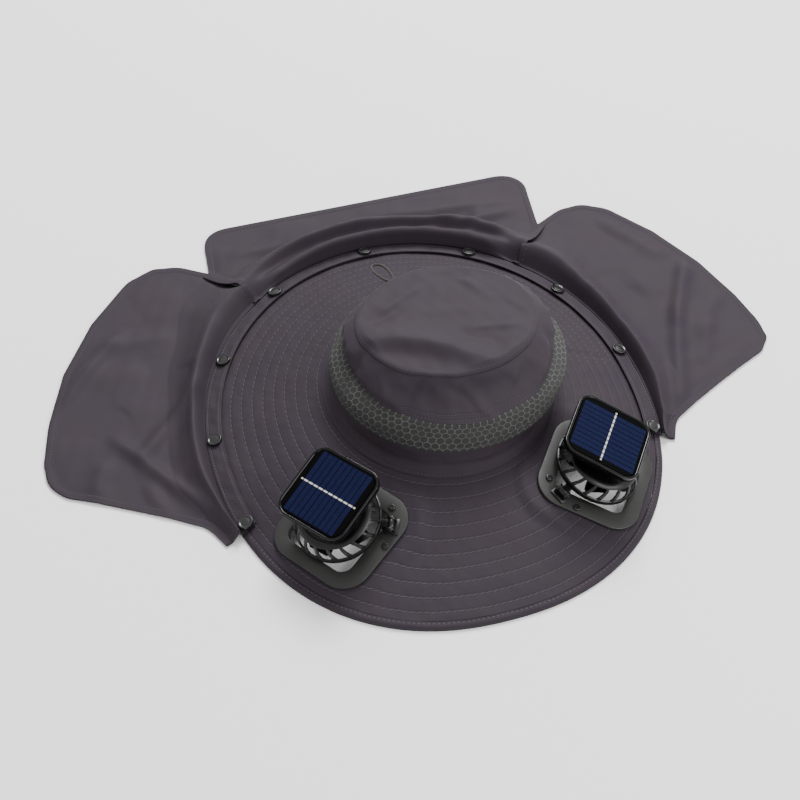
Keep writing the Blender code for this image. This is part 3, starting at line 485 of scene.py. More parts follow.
@dataclass(frozen=True)
class MouldedPlastic:
    """Injection-moulded ABS: an even colour with a fine spark-eroded grain and soft sheen."""

    name: str
    colour: str
    roughness: float
    grain: float = 0.45 * MM
    relief: float = 0.04
    coat: float = 0.0
    shine: float = 0.5

    def make(self) -> bpy.types.Material:
        """Build the material: mould grain, faint handling marks and the base colour."""
        material, tree, shader = blank_material(self.name)
        place = add_node(tree, "ShaderNodeTexCoord").outputs["Object"]
        grain = add_node(
            tree,
            "ShaderNodeTexNoise",
            inputs={"Vector": place, "Scale": 1.0 / self.grain, "Detail": 2.0},
        )
        marks = add_node(
            tree, "ShaderNodeTexNoise", inputs={"Vector": place, "Scale": 70.0, "Detail": 4.0}
        )
        rough = add_node(
            tree,
            "ShaderNodeMapRange",
            EASED,
            {
                "Value": marks.outputs["Fac"],
                "From Min": 0.35,
                "From Max": 0.7,
                "To Min": self.roughness - 0.05,
                "To Max": self.roughness + 0.07,
            },
        ).outputs["Result"]
        height = add_node(
            tree, "ShaderNodeMath", {"operation": "MULTIPLY"}, {0: grain.outputs["Fac"], 1: self.relief}
        ).outputs[0]
        normal = add_node(
            tree, "ShaderNodeBump", inputs={"Strength": 0.6, "Distance": MM, "Height": height}
        ).outputs["Normal"]
        tint = add_node(
            tree,
            "ShaderNodeMix",
            {"data_type": "RGBA", "blend_type": "MULTIPLY"},
            {
                "Factor": add_node(
                    tree,
                    "ShaderNodeMapRange",
                    EASED,
                    {
                        "Value": marks.outputs["Fac"],
                        "From Min": 0.3,
                        "From Max": 0.75,
                        "To Min": 0.0,
                        "To Max": 0.25,
                    },
                ).outputs["Result"],
                6: linear(self.colour),
                7: linear("B4B2AE"),
            },
        ).outputs[2]
        tree.links.new(tint, shader.inputs["Base Color"])
        tree.links.new(rough, shader.inputs["Roughness"])
        tree.links.new(normal, shader.inputs["Normal"])
        shader.inputs["IOR"].default_value = 1.53
        shader.inputs["Specular IOR Level"].default_value = self.shine
        shader.inputs["Coat Weight"].default_value = self.coat
        shader.inputs["Coat Roughness"].default_value = 0.06
        return material


@dataclass(frozen=True)
class SolarCells:
    """Polycrystalline cell strips under clear epoxy, with printed silver fingers and a tinned strap."""

    name: str = "epoxy_coated_solar_cells"
    cell: str = "0B0E27"
    finger: str = "242C50"
    gap: str = "04050C"
    strap: str = "B9B9B4"
    margin: str = "050506"
    strip: float = 4.64 * MM
    strips_half: float = 23.2 * MM
    reach_half: float = 26.2 * MM

    def make(self) -> bpy.types.Material:
        """Build the material: strips, separators, fingers, strap and its solder."""
        material, tree, shader = blank_material(self.name)
        uv = add_node(tree, "ShaderNodeUVMap", {"uv_map": "seam"}).outputs["UV"]
        parts = add_node(tree, "ShaderNodeSeparateXYZ", inputs={"Vector": uv})
        along, across = parts.outputs["X"], parts.outputs["Y"]
        # Fingers are 0.1 mm wide in the real strips and are drawn at 0.35 mm, so that they show
        finger = add_node(
            tree,
            "ShaderNodeMapRange",
            EASED,
            {
                "Value": add_node(
                    tree, "ShaderNodeMath", {"operation": "PINGPONG"}, {0: along, 1: 0.41 * MM}
                ).outputs[0],
                "From Min": 0.2 * MM,
                "From Max": 0.32 * MM,
                "To Min": 0.0,
                "To Max": 1.0,
            },
        ).outputs["Result"]
        crystal = add_node(
            tree, "ShaderNodeTexVoronoi", {"feature": "F1"}, {"Vector": uv, "Scale": 900.0}
        )
        tone = add_node(
            tree,
            "ShaderNodeMapRange",
            EASED,
            {
                "Value": crystal.outputs["Distance"],
                "From Min": 0.0,
                "From Max": 0.9,
                "To Min": 0.25,
                "To Max": 0.75,
            },
        ).outputs["Result"]
        blue = add_node(
            tree,
            "ShaderNodeMix",
            {"data_type": "RGBA"},
            {
                "Factor": add_node(
                    tree, "ShaderNodeMath", {"operation": "MULTIPLY"}, {0: finger, 1: tone}
                ).outputs[0],
                6: linear(self.cell),
                7: linear(self.finger),
            },
        ).outputs[2]
        beat = add_node(
            tree, "ShaderNodeMath", {"operation": "PINGPONG"}, {0: along, 1: 0.5 * self.strip}
        ).outputs[0]
        split = add_node(
            tree,
            "ShaderNodeMapRange",
            EASED,
            {"Value": beat, "From Min": 0.25 * MM, "From Max": 0.45 * MM, "To Min": 1.0, "To Max": 0.0},
        ).outputs["Result"]
        cells = add_node(
            tree, "ShaderNodeMix", {"data_type": "RGBA"}, {"Factor": split, 6: blue, 7: linear(self.gap)}
        ).outputs[2]
        inside = add_node(
            tree,
            "ShaderNodeMath",
            {"operation": "MULTIPLY"},
            {
                0: add_node(
                    tree,
                    "ShaderNodeMath",
                    {"operation": "LESS_THAN"},
                    {
                        0: add_node(
                            tree, "ShaderNodeMath", {"operation": "ABSOLUTE"}, {0: along}
                        ).outputs[0],
                        1: self.strips_half,
                    },
                ).outputs[0],
                1: add_node(
                    tree,
                    "ShaderNodeMath",
                    {"operation": "LESS_THAN"},
                    {
                        0: add_node(
                            tree, "ShaderNodeMath", {"operation": "ABSOLUTE"}, {0: across}
                        ).outputs[0],
                        1: self.reach_half,
                    },
                ).outputs[0],
            },
        ).outputs[0]
        faced = add_node(
            tree,
            "ShaderNodeMix",
            {"data_type": "RGBA"},
            {"Factor": inside, 6: linear(self.margin), 7: cells},
        ).outputs[2]
        # The strap crosses every strip and is soldered on each, so it shows as dashes
        line = add_node(
            tree,
            "ShaderNodeMapRange",
            EASED,
            {
                "Value": add_node(
                    tree, "ShaderNodeMath", {"operation": "ABSOLUTE"}, {0: across}
                ).outputs[0],
                "From Min": 0.55 * MM,
                "From Max": 0.75 * MM,
                "To Min": 1.0,
                "To Max": 0.0,
            },
        ).outputs["Result"]
        solder = add_node(
            tree,
            "ShaderNodeMapRange",
            EASED,
            {"Value": beat, "From Min": 0.35 * MM, "From Max": 0.8 * MM, "To Min": 0.12, "To Max": 1.0},
        ).outputs["Result"]
        tail = add_node(
            tree,
            "ShaderNodeMath",
            {"operation": "LESS_THAN"},
            {
                0: add_node(tree, "ShaderNodeMath", {"operation": "ABSOLUTE"}, {0: along}).outputs[0],
                1: self.strips_half + 2.2 * MM,
            },
        ).outputs[0]
        strap = add_node(
            tree,
            "ShaderNodeMath",
            {"operation": "MULTIPLY"},
            {
                0: add_node(
                    tree, "ShaderNodeMath", {"operation": "MULTIPLY"}, {0: line, 1: solder}
                ).outputs[0],
                1: tail,
            },
        ).outputs[0]
        colour = add_node(
            tree,
            "ShaderNodeMix",
            {"data_type": "RGBA"},
            {"Factor": strap, 6: faced, 7: linear(self.strap)},
        ).outputs[2]
        tree.links.new(colour, shader.inputs["Base Color"])
        rough = add_node(
            tree,
            "ShaderNodeMapRange",
            EASED,
            {"Value": strap, "From Min": 0.0, "From Max": 1.0, "To Min": 0.32, "To Max": 0.5},
        ).outputs["Result"]
        tree.links.new(rough, shader.inputs["Roughness"])
        shader.inputs["IOR"].default_value = 1.5
        shader.inputs["Specular IOR Level"].default_value = 0.04
        return material


@dataclass(frozen=True)
class BraidedElastic:
    """Braided polyester over rubber: a dull cord whose slanting braid shows as fine ribs."""

    name: str = "braided_elastic"
    colour: str = "3A3A37"
    braid: float = 1.1 * MM

    def make(self) -> bpy.types.Material:
        """Build the material from crossed waves on the cord's own coordinates."""
        material, tree, shader = blank_material(self.name)
        place = add_node(tree, "ShaderNodeTexCoord").outputs["Object"]
        wave = add_node(
            tree,
            "ShaderNodeTexWave",
            {"bands_direction": "DIAGONAL"},
            {"Vector": place, "Scale": 0.314 / self.braid, "Distortion": 1.5},
        )
        normal = add_node(
            tree,
            "ShaderNodeBump",
            inputs={"Strength": 0.8, "Distance": 0.3 * MM, "Height": wave.outputs["Fac"]},
        ).outputs["Normal"]
        colour = add_node(
            tree,
            "ShaderNodeMix",
            {"data_type": "RGBA"},
            {"Factor": wave.outputs["Fac"], 6: linear("232322"), 7: linear(self.colour)},
        ).outputs[2]
        tree.links.new(colour, shader.inputs["Base Color"])
        tree.links.new(normal, shader.inputs["Normal"])
        shader.inputs["Roughness"].default_value = 0.8
        return material


# The hat's form, from the same named sizes as the solids


def smooth_step(value: Array | float) -> Array:
    """Ease values from 0 to 1."""
    value = np.clip(value, 0.0, 1.0)
    return value * value * (3.0 - 2.0 * value)


def course(rows: Sequence[Section], along: Array) -> Array:
    """Read the columns of a table at shares of its first column, eased between rows.

    Args:
        rows: rows of a share and its values.
        along: shares to read at.

    Returns:
        One row of values per share.
    """
    table = np.array(rows)
    along = np.clip(along, table[0, 0], table[-1, 0])
    place = np.clip(np.searchsorted(table[:, 0], along, side="right") - 1, 0, len(table) - 2)
    span = table[place + 1, 0] - table[place, 0]
    mix = smooth_step((along - table[place, 0]) / span)[:, None]
    return table[place, 1:] * (1.0 - mix) + table[place + 1, 1:] * mix


def spline(points: Array, count: int) -> Array:
    """Run a smooth curve through points, spread evenly along it.

    Args:
        points: the points that it passes, one per row.
        count: how many points come back.

    Returns:
        The points along the curve.
    """
    padded = np.vstack([2.0 * points[0] - points[1], points, 2.0 * points[-1] - points[-2]])
    fine = []
    for a, b, c, d in zip(padded, padded[1:], padded[2:], padded[3:]):
        bend = 2.0 * a - 5.0 * b + 4.0 * c - d
        twist = 3.0 * b - a - 3.0 * c + d
        for t in np.linspace(0.0, 1.0, 24, endpoint=False):
            fine.append(
                0.5 * (2.0 * b + (c - a) * t + bend * t * t + twist * t**3),
            )
    fine.append(points[-1])
    line = np.array(fine)
    lengths = np.concatenate([[0.0], np.cumsum(np.linalg.norm(np.diff(line, axis=0), axis=1))])
    targets = np.linspace(0.0, lengths[-1], count)
    return np.stack(
        [np.interp(targets, lengths, line[:, column]) for column in range(line.shape[1])], axis=1
    )


def rumple(x: Array, y: Array, size: float, seed: float) -> Array:
    """Return an even, repeatable unevenness between -1 and 1 of about a given size."""
    total = np.zeros_like(x)
    for index in range(7):
        turn = seed + 2.399 * index
        waves = 2.0 * math.pi / (size * (0.7 + 0.17 * index))
        total += np.sin(waves * (x * math.cos(turn) + y * math.sin(turn)) + 1.7 * seed * (index + 1))
    return total / 7.0 * 1.6


@dataclass
class HatForm:
    """Sizes of the hat as the solids have them, with its surfaces as functions."""

    gap: float = 0.3 * MM
    brim_centre: tuple[float, float] = (0.0015, -0.034)
    brim_half: tuple[float, float] = (0.181, 0.203)
    brim_thickness: float = 0.003
    brim_rise: float = 0.030
    brim_dish: float = 1.1
    front_squareness: float = 2.25
    binding_width: float = 0.0055
    binding_thickness: float = 0.0036
    seam: tuple[float, float] = (0.009, -0.028)
    crown_half: tuple[float, float] = (0.092, 0.098)
    crown_height: float = 0.064
    crown_lean: float = 0.010
    crown_set_back: float = 0.0085
    crown_back_drop: float = 0.009
    crown_wall: float = 0.0018
    under_foot: float = 0.005
    cloth: float = 0.0015
    band_width: float = 0.0135
    band_overhang: float = 0.0008
    band_end: float = math.radians(114.0)
    band_clearance: float = 0.0009
    left_place: tuple[float, float] = (-0.0990, -0.1310)
    right_place: tuple[float, float] = (0.1025, -0.1382)
    plate_corner: tuple[float, float] = (0.0295, 0.0285)
    plate_turn: float = math.radians(11.0)
    plate_forward: float = 0.0035
    plate_radius: float = 0.0215
    plate_rim: float = 0.0130
    plate_shift: float = 0.0018
    plate_thickness: float = 0.0025
    collar_wall: float = 0.0015
    collar_depth: float = 0.0040
    seat_margin: float = 0.007
    seat_blend: float = 0.012
    hinge_angle: float = math.radians(27.6)
    hinge_offset: float = 0.0405
    pivot_height: float = 0.0080
    fan_lean: float = math.radians(4.5)
    fan_lift: float = 0.0012

    def place(self, side: Side) -> tuple[float, float]:
        """Return the middle of a fan's seat in plan."""
        return self.left_place if side is Side.LEFT else self.right_place

    def exponent(self, front: Array, share: Array | float = 1.0) -> Array:
        """Return the exponent of the brim's outline, squarer at the front."""
        return 2.0 + np.where(front, (self.front_squareness - 2.0) * share, 0.0)

    def edge_outline(self, turn: Array, inset: Array | float) -> tuple[Array, Array]:
        """Return plan points of the brim's outline, moved in from the edge."""
        power = 2.0 / self.exponent(np.sin(turn) < 0.0)
        across = np.sign(np.cos(turn)) * np.abs(np.cos(turn)) ** power
        along = np.sign(np.sin(turn)) * np.abs(np.sin(turn)) ** power
        x = self.brim_centre[0] + (self.brim_half[0] - inset) * across
        return x, self.brim_centre[1] + (self.brim_half[1] - inset) * along

    def seam_share(self, x: Array, y: Array) -> Array:
        """Return how far points lie from the crown's seam (0) to the brim's edge (1)."""
        low = np.zeros_like(x)
        high = np.full_like(x, 1.5)
        for _ in range(24):
            share = 0.5 * (low + high)
            centre_x = self.seam[0] + (self.brim_centre[0] - self.seam[0]) * share
            centre_y = self.seam[1] + (self.brim_centre[1] - self.seam[1]) * share
            half_x = self.crown_half[0] + (self.brim_half[0] - self.crown_half[0]) * share
            half_y = self.crown_half[1] + (self.brim_half[1] - self.crown_half[1]) * share
            power = self.exponent(y < centre_y, share)
            across = np.abs((x - centre_x) / half_x) ** power
            outside = across + np.abs((y - centre_y) / half_y) ** power > 1.0
            low = np.where(outside, share, low)
            high = np.where(outside, high, share)
        return 0.5 * (low + high)

    def cone_height(self, x: Array, y: Array) -> Array:
        """Return the height of the plain brim's upper side."""
        share = np.minimum(self.seam_share(x, y), 1.0)
        return self.brim_thickness + self.brim_rise * (1.0 - share) ** self.brim_dish

    def seat_plane(self, side: Side) -> tuple[float, float, float]:
        """Return the height and the two slopes of the flat that a fan's plate lies on."""
        step = 0.5 * self.plate_radius
        x, y = self.place(side)
        xs = np.array([x, x + step, x - step, x, x])
        ys = np.array([y, y, y, y + step, y - step])
        h = self.cone_height(xs, ys)
        return float(h[0]), float((h[1] - h[2]) / (2.0 * step)), float((h[3] - h[4]) / (2.0 * step))

    def beyond_plate(self, x: Array, y: Array, side: Side) -> Array:
        """Return how far plan points lie outside a fan plate's outline."""
        seat_x, seat_y = self.place(side)
        turn = -side.value * self.plate_turn
        dx = x - seat_x
        dy = y - seat_y + self.plate_forward
        u = np.abs(dx * math.cos(turn) - dy * math.sin(turn))
        v = np.abs(dx * math.sin(turn) + dy * math.cos(turn))
        corner_x, corner_y = self.plate_corner
        along = np.clip(
            (-(u - corner_x) * corner_x + v * corner_y) / (corner_x ** 2 + corner_y ** 2), 0.0, 1.0
        )
        near_u = corner_x * (1.0 - along)
        near_v = corner_y * along
        distance = np.hypot(u - near_u, v - near_v)
        inside = u / corner_x + v / corner_y < 1.0
        return np.where(inside, -distance, distance) - self.plate_radius

    def brim_height(self, x: Array, y: Array) -> Array:
        """Return the height of the brim's upper side, flat where a plate lies on it."""
        height = self.cone_height(x, y)
        for side in Side:
            beyond = self.beyond_plate(x, y, side)
            weight = 1.0 - smooth_step((beyond - self.seat_margin) / self.seat_blend)
            base, slope_x, slope_y = self.seat_plane(side)
            seat_x, seat_y = self.place(side)
            plane = base + slope_x * (x - seat_x) + slope_y * (y - seat_y)
            height = height + (plane - height) * weight
        return np.clip(height, self.brim_thickness, self.brim_thickness + self.brim_rise)

    def edge_radius(self, angle: Array) -> Array:
        """Return the brim's radius from its centre at angles measured from the back."""
        power = self.exponent(np.cos(angle) < 0.0)
        across = np.abs(np.sin(angle) / self.brim_half[0]) ** power
        along = np.abs(np.cos(angle) / self.brim_half[1]) ** power
        return (across + along) ** (-1.0 / power)

    def edge_point(self, angle: Array, beyond: Array | float) -> tuple[Array, Array]:
        """Return plan points beyond the brim's edge, at angles from the back."""
        radius = self.edge_radius(angle) + beyond
        return self.brim_centre[0] + radius * np.sin(angle), self.brim_centre[1] + radius * np.cos(angle)

    def band_height(self, x: Array, y: Array) -> Array:
        """Return the underside of the cape's band on the bound edge."""
        return self.brim_height(x, y) + self.binding_thickness - self.brim_thickness + self.band_clearance

    def seat_matrix(self, side: Side) -> Matrix:
        """Return the frame of a fan's seat: x outward from the hat, z off the brim."""
        base, slope_x, slope_y = self.seat_plane(side)
        normal = Vector((-slope_x, -slope_y, 1.0)).normalized()
        outward = Vector((side.value, 0.0, side.value * slope_x)).normalized()
        around = normal.cross(outward)
        rotation = Matrix((outward, around, normal)).transposed().to_4x4()
        return Matrix.Translation((*self.place(side), base)) @ rotation

    def hinge_turn(self, side: Side) -> float:
        """Return the seat angle from the fan's middle to its hinge."""
        return math.pi + side.value * self.hinge_angle

    def pivot_matrix(self, side: Side) -> Matrix:
        """Return the frame of a fan's hinge: y along its pin, x towards the fan."""
        turn = self.hinge_turn(side)
        place = Vector((math.cos(turn), math.sin(turn), 0.0)) * self.hinge_offset
        place.z = self.pivot_height
        return self.seat_matrix(side) @ Matrix.Translation(place) @ Matrix.Rotation(turn + math.pi, 4, "Z")

    def fan_matrix(self, side: Side) -> Matrix:
        """Return the frame of a fan: z along its shaft, the cage standing on z = 0."""
        lean = Matrix.Rotation(self.fan_lean, 4, "Y")
        return self.pivot_matrix(side) @ lean @ Matrix.Translation((self.hinge_offset, 0.0, self.fan_lift))


# Meshes of cloth from rows of points


def grid_faces(rows: int, columns: int, wrap: bool) -> list[tuple[int, int, int, int]]:
    """Return the faces of a grid of points, as numbers of its points."""
    spans = columns if wrap else columns - 1
    return [
        (
            r * columns + c,
            r * columns + (c + 1) % columns,
            (r + 1) * columns + (c + 1) % columns,
            (r + 1) * columns + c,
        )
        for r in range(rows - 1)
        for c in range(spans)
    ]


def cloth_grid(name: str, points: Array, uv: Array, wrap: bool) -> bpy.types.Object:
    """Build one layer of cloth with its seam UV map.

    Args:
        name: the piece's name.
        points: rows by columns by three.
        uv: rows by columns (one more where it wraps) by two, in metres.
        wrap: whether each row's end joins its start.

    Returns:
        The piece, in the scene.
    """
    rows, columns = points.shape[:2]
    faces = grid_faces(rows, columns, wrap)
    mesh = bpy.data.meshes.new(name)
    mesh.from_pydata(points.reshape(-1, 3).tolist(), [], faces)
    layer = mesh.uv_layers.new(name="seam")
    spans = columns if wrap else columns - 1
    r, c = np.meshgrid(np.arange(rows - 1), np.arange(spans), indexing="ij")
    corners = np.stack([uv[r, c], uv[r, c + 1], uv[r + 1, c + 1], uv[r + 1, c]], axis=2)
    layer.data.foreach_set("uv", corners.reshape(-1).astype(np.float32))
    piece = bpy.data.objects.new(name, mesh)
    bpy.context.collection.objects.link(piece)
    return piece


def closed_cloth(
    name: str, upper: Array, lower: Array, uv: Array, wrap: bool, pole: bool = False
) -> bpy.types.Object:
    """Build a closed wall of cloth between an upper and a lower layer of points.

    Args:
        name: the piece's name.
        upper: rows by columns by three, the side that shows.
        lower: the same layout, the side that is hidden.
        uv: the seam UV map for both, in metres.
        wrap: whether each row's end joins its start.
        pole: whether the last rows close in the middle.

    Returns:
        The piece, in the scene.
    """
    rows, columns = upper.shape[:2]
    count = rows * columns
    faces = grid_faces(rows, columns, wrap)
    under = [tuple(count + index for index in reversed(face)) for face in faces]
    spans = columns if wrap else columns - 1
    rims = []
    for c in range(spans):
        after = (c + 1) % columns
        rims.append((after, c, count + c, count + after))
        if not pole:
            last = (rows - 1) * columns
            rims.append((last + c, last + after, count + last + after, count + last + c))
    if not wrap:
        for r in range(rows - 1):
            a, b = r * columns, (r + 1) * columns
            rims.append((a, b, count + b, count + a))
            a, b = a + columns - 1, b + columns - 1
            rims.append((b, a, count + a, count + b))
    caps = []
    if pole:
        last = (rows - 1) * columns
        caps = [
            tuple((last + c for c in range(columns))),
            tuple((count + last + c for c in reversed(range(columns)))),
        ]
    mesh = bpy.data.meshes.new(name)
    points = np.vstack([upper.reshape(-1, 3), lower.reshape(-1, 3)])
    mesh.from_pydata(points.tolist(), [], faces + under + rims + caps)
    flat = np.vstack([uv[:, :columns].reshape(-1, 2)] * 2)
    loops = np.zeros(len(mesh.loops), dtype=np.int32)
    mesh.loops.foreach_get("vertex_index", loops)
    values = flat[loops]
    if wrap:
        r, c = np.meshgrid(np.arange(rows - 1), np.arange(columns), indexing="ij")
        ring = np.stack([uv[r, c], uv[r, c + 1], uv[r + 1, c + 1], uv[r + 1, c]], axis=2).reshape(-1, 2)
        values[: len(ring)] = ring
        values[len(ring) : 2 * len(ring)] = ring.reshape(-1, 4, 2)[:, ::-1].reshape(-1, 2)
    layer = mesh.uv_layers.new(name="seam")
    layer.data.foreach_set("uv", values.reshape(-1).astype(np.float32))
    piece = bpy.data.objects.new(name, mesh)
    bpy.context.collection.objects.link(piece)
    Bench.outward(piece)
    return piece


class Bench:
    """Moves of the modelling bench that the moulded and the sewn pieces share."""

    @staticmethod
    def clear() -> None:
        """Leave edit mode and deselect everything."""
        if bpy.context.object and bpy.context.object.mode != "OBJECT":
            bpy.ops.object.mode_set(mode="OBJECT")
        bpy.ops.object.select_all(action="DESELECT")

    @staticmethod
    def hold(piece: bpy.types.Object) -> None:
        """Make a piece the only one selected, and active."""
        Bench.clear()
        piece.select_set(True)
        bpy.context.view_layer.objects.active = piece

    @staticmethod
    def started(name: str) -> bpy.types.Object:
        """Name the primitive that was just added and open it for editing."""
        piece = bpy.context.object
        piece.name = name
        piece.data.name = name
        bpy.ops.object.mode_set(mode="EDIT")
        return piece

    @staticmethod
    def pick(piece: bpy.types.Object, test: Callable[[Vector, Vector], bool]) -> None:
        """Select the faces whose middle and normal pass a test, in edit mode."""
        bpy.ops.mesh.select_mode(type="FACE")
        bpy.ops.mesh.select_all(action="DESELECT")
        builder = bmesh.from_edit_mesh(piece.data)
        for face in builder.faces:
            face.select = test(face.calc_center_median(), face.normal)
        bmesh.update_edit_mesh(piece.data)

    @staticmethod
    def pick_edges(piece: bpy.types.Object, test: Callable[[Vector, Vector], bool]) -> None:
        """Select the edges whose middle and direction pass a test, in edit mode."""
        bpy.ops.mesh.select_mode(type="EDGE")
        bpy.ops.mesh.select_all(action="DESELECT")
        builder = bmesh.from_edit_mesh(piece.data)
        for edge in builder.edges:
            start, end = (vertex.co for vertex in edge.verts)
            edge.select = test((start + end) / 2.0, (end - start).normalized())
        bmesh.update_edit_mesh(piece.data)

    @staticmethod
    def pull(offset: Sequence[float]) -> None:
        """Extrude the selected faces by an offset."""
        bpy.ops.mesh.extrude_region_move(TRANSFORM_OT_translate={"value": tuple(offset)})

    @staticmethod
    def round_edges(offset: float, segments: int) -> None:
        """Bevel the selected edges."""
        bpy.ops.mesh.bevel(
            offset=offset, offset_type="OFFSET", segments=segments, profile=0.5, affect="EDGES"
        )

    @staticmethod
    def close() -> None:
        """Merge doubles, turn the faces out and leave edit mode."""
        bpy.ops.mesh.select_all(action="SELECT")
        bpy.ops.mesh.remove_doubles(threshold=0.00001)
        bpy.ops.mesh.normals_make_consistent(inside=False)
        bpy.ops.object.mode_set(mode="OBJECT")

    @staticmethod
    def outward(piece: bpy.types.Object) -> None:
        """Turn the faces of a closed mesh outwards."""
        builder = bmesh.new()
        builder.from_mesh(piece.data)
        bmesh.ops.recalc_face_normals(builder, faces=builder.faces)
        builder.to_mesh(piece.data)
        builder.free()

    @staticmethod
    def settle(piece: bpy.types.Object, place: Matrix) -> bpy.types.Object:
        """Put a piece's mesh at a matrix and leave its object at the origin."""
        piece.data.transform(place @ piece.matrix_world)
        piece.matrix_world = Matrix.Identity(4)
        return piece

    @staticmethod
    def copy(piece: bpy.types.Object, name: str) -> bpy.types.Object:
        """Return a copy of a piece with its own mesh."""
        twin = piece.copy()
        twin.data = piece.data.copy()
        twin.name = name
        twin.data.name = name
        bpy.context.collection.objects.link(twin)
        return twin

    @staticmethod
    def join(pieces: Sequence[bpy.types.Object], name: str) -> bpy.types.Object:
        """Join pieces into one of a given name."""
        Bench.clear()
        for piece in pieces:
            piece.select_set(True)
        bpy.context.view_layer.objects.active = pieces[0]
        bpy.ops.object.join()
        joined = bpy.context.object
        joined.name = name
        joined.data.name = name
        return joined

    @staticmethod
    def around(piece: bpy.types.Object, count: int) -> list[bpy.types.Object]:
        """Copy a piece evenly round the z axis, the first one included."""
        ring = [piece]
        for index in range(1, count):
            twin = Bench.copy(piece, f"{piece.name}_{index}")
            twin.data.transform(Matrix.Rotation(2.0 * math.pi * index / count, 4, "Z"))
            ring.append(twin)
        return ring

    @staticmethod
    def apply(piece: bpy.types.Object) -> None:
        """Apply a piece's modifiers in order."""
        Bench.hold(piece)
        for modifier in list(piece.modifiers):
            bpy.ops.object.modifier_apply(modifier=modifier.name)

    @staticmethod
    def smooth(piece: bpy.types.Object, degrees: float = 180.0) -> None:
        """Shade a piece smooth, with edges sharper than an angle kept."""
        Bench.hold(piece)
        bpy.ops.object.shade_smooth_by_angle(angle=math.radians(degrees))

    @staticmethod
    def finish(
        piece: bpy.types.Object,
        material: bpy.types.Material,
        body: str,
        slot: str,
        nodes: Sequence[str],
    ) -> bpy.types.Object:
        """Dress a piece, let it ride on its body and stand for its CAD nodes.

        Args:
            piece: the piece, in place.
            material: its finish.
            body: the CAD body that it rides on.
            slot: the name of its material slot, not used.
            nodes: the CAD nodes that it replaces.

        Returns:
            The piece.
        """
        piece.data.materials.clear()
        piece.data.materials.append(material)
        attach(piece, body)
        if nodes:
            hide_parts(*nodes)
        log.info("%s: %d faces", piece.name, len(getattr(piece.data, "polygons", [])))
        return piece


@dataclass(frozen=True)
class Crease:
    """A soft ridge or valley in laid cloth, from one plan point to another."""

    start: tuple[float, float]
    end: tuple[float, float]
    height: float
    width: float

    def lift(self, x: Array, y: Array) -> Array:
        """Return how far the crease lifts the cloth at plan points."""
        ax, ay = (value * MM for value in self.start)
        bx, by = (value * MM for value in self.end)
        length = math.hypot(bx - ax, by - ay)
        ux, uy = (bx - ax) / length, (by - ay) / length
        along = ((x - ax) * ux + (y - ay) * uy) / length
        away = (x - ax) * -uy + (y - ay) * ux
        ends = smooth_step((along + 0.15) / 0.35) * smooth_step((1.15 - along) / 0.35)
        return self.height * MM * ends * np.exp(-((away / (self.width * MM)) ** 2))


# Brim


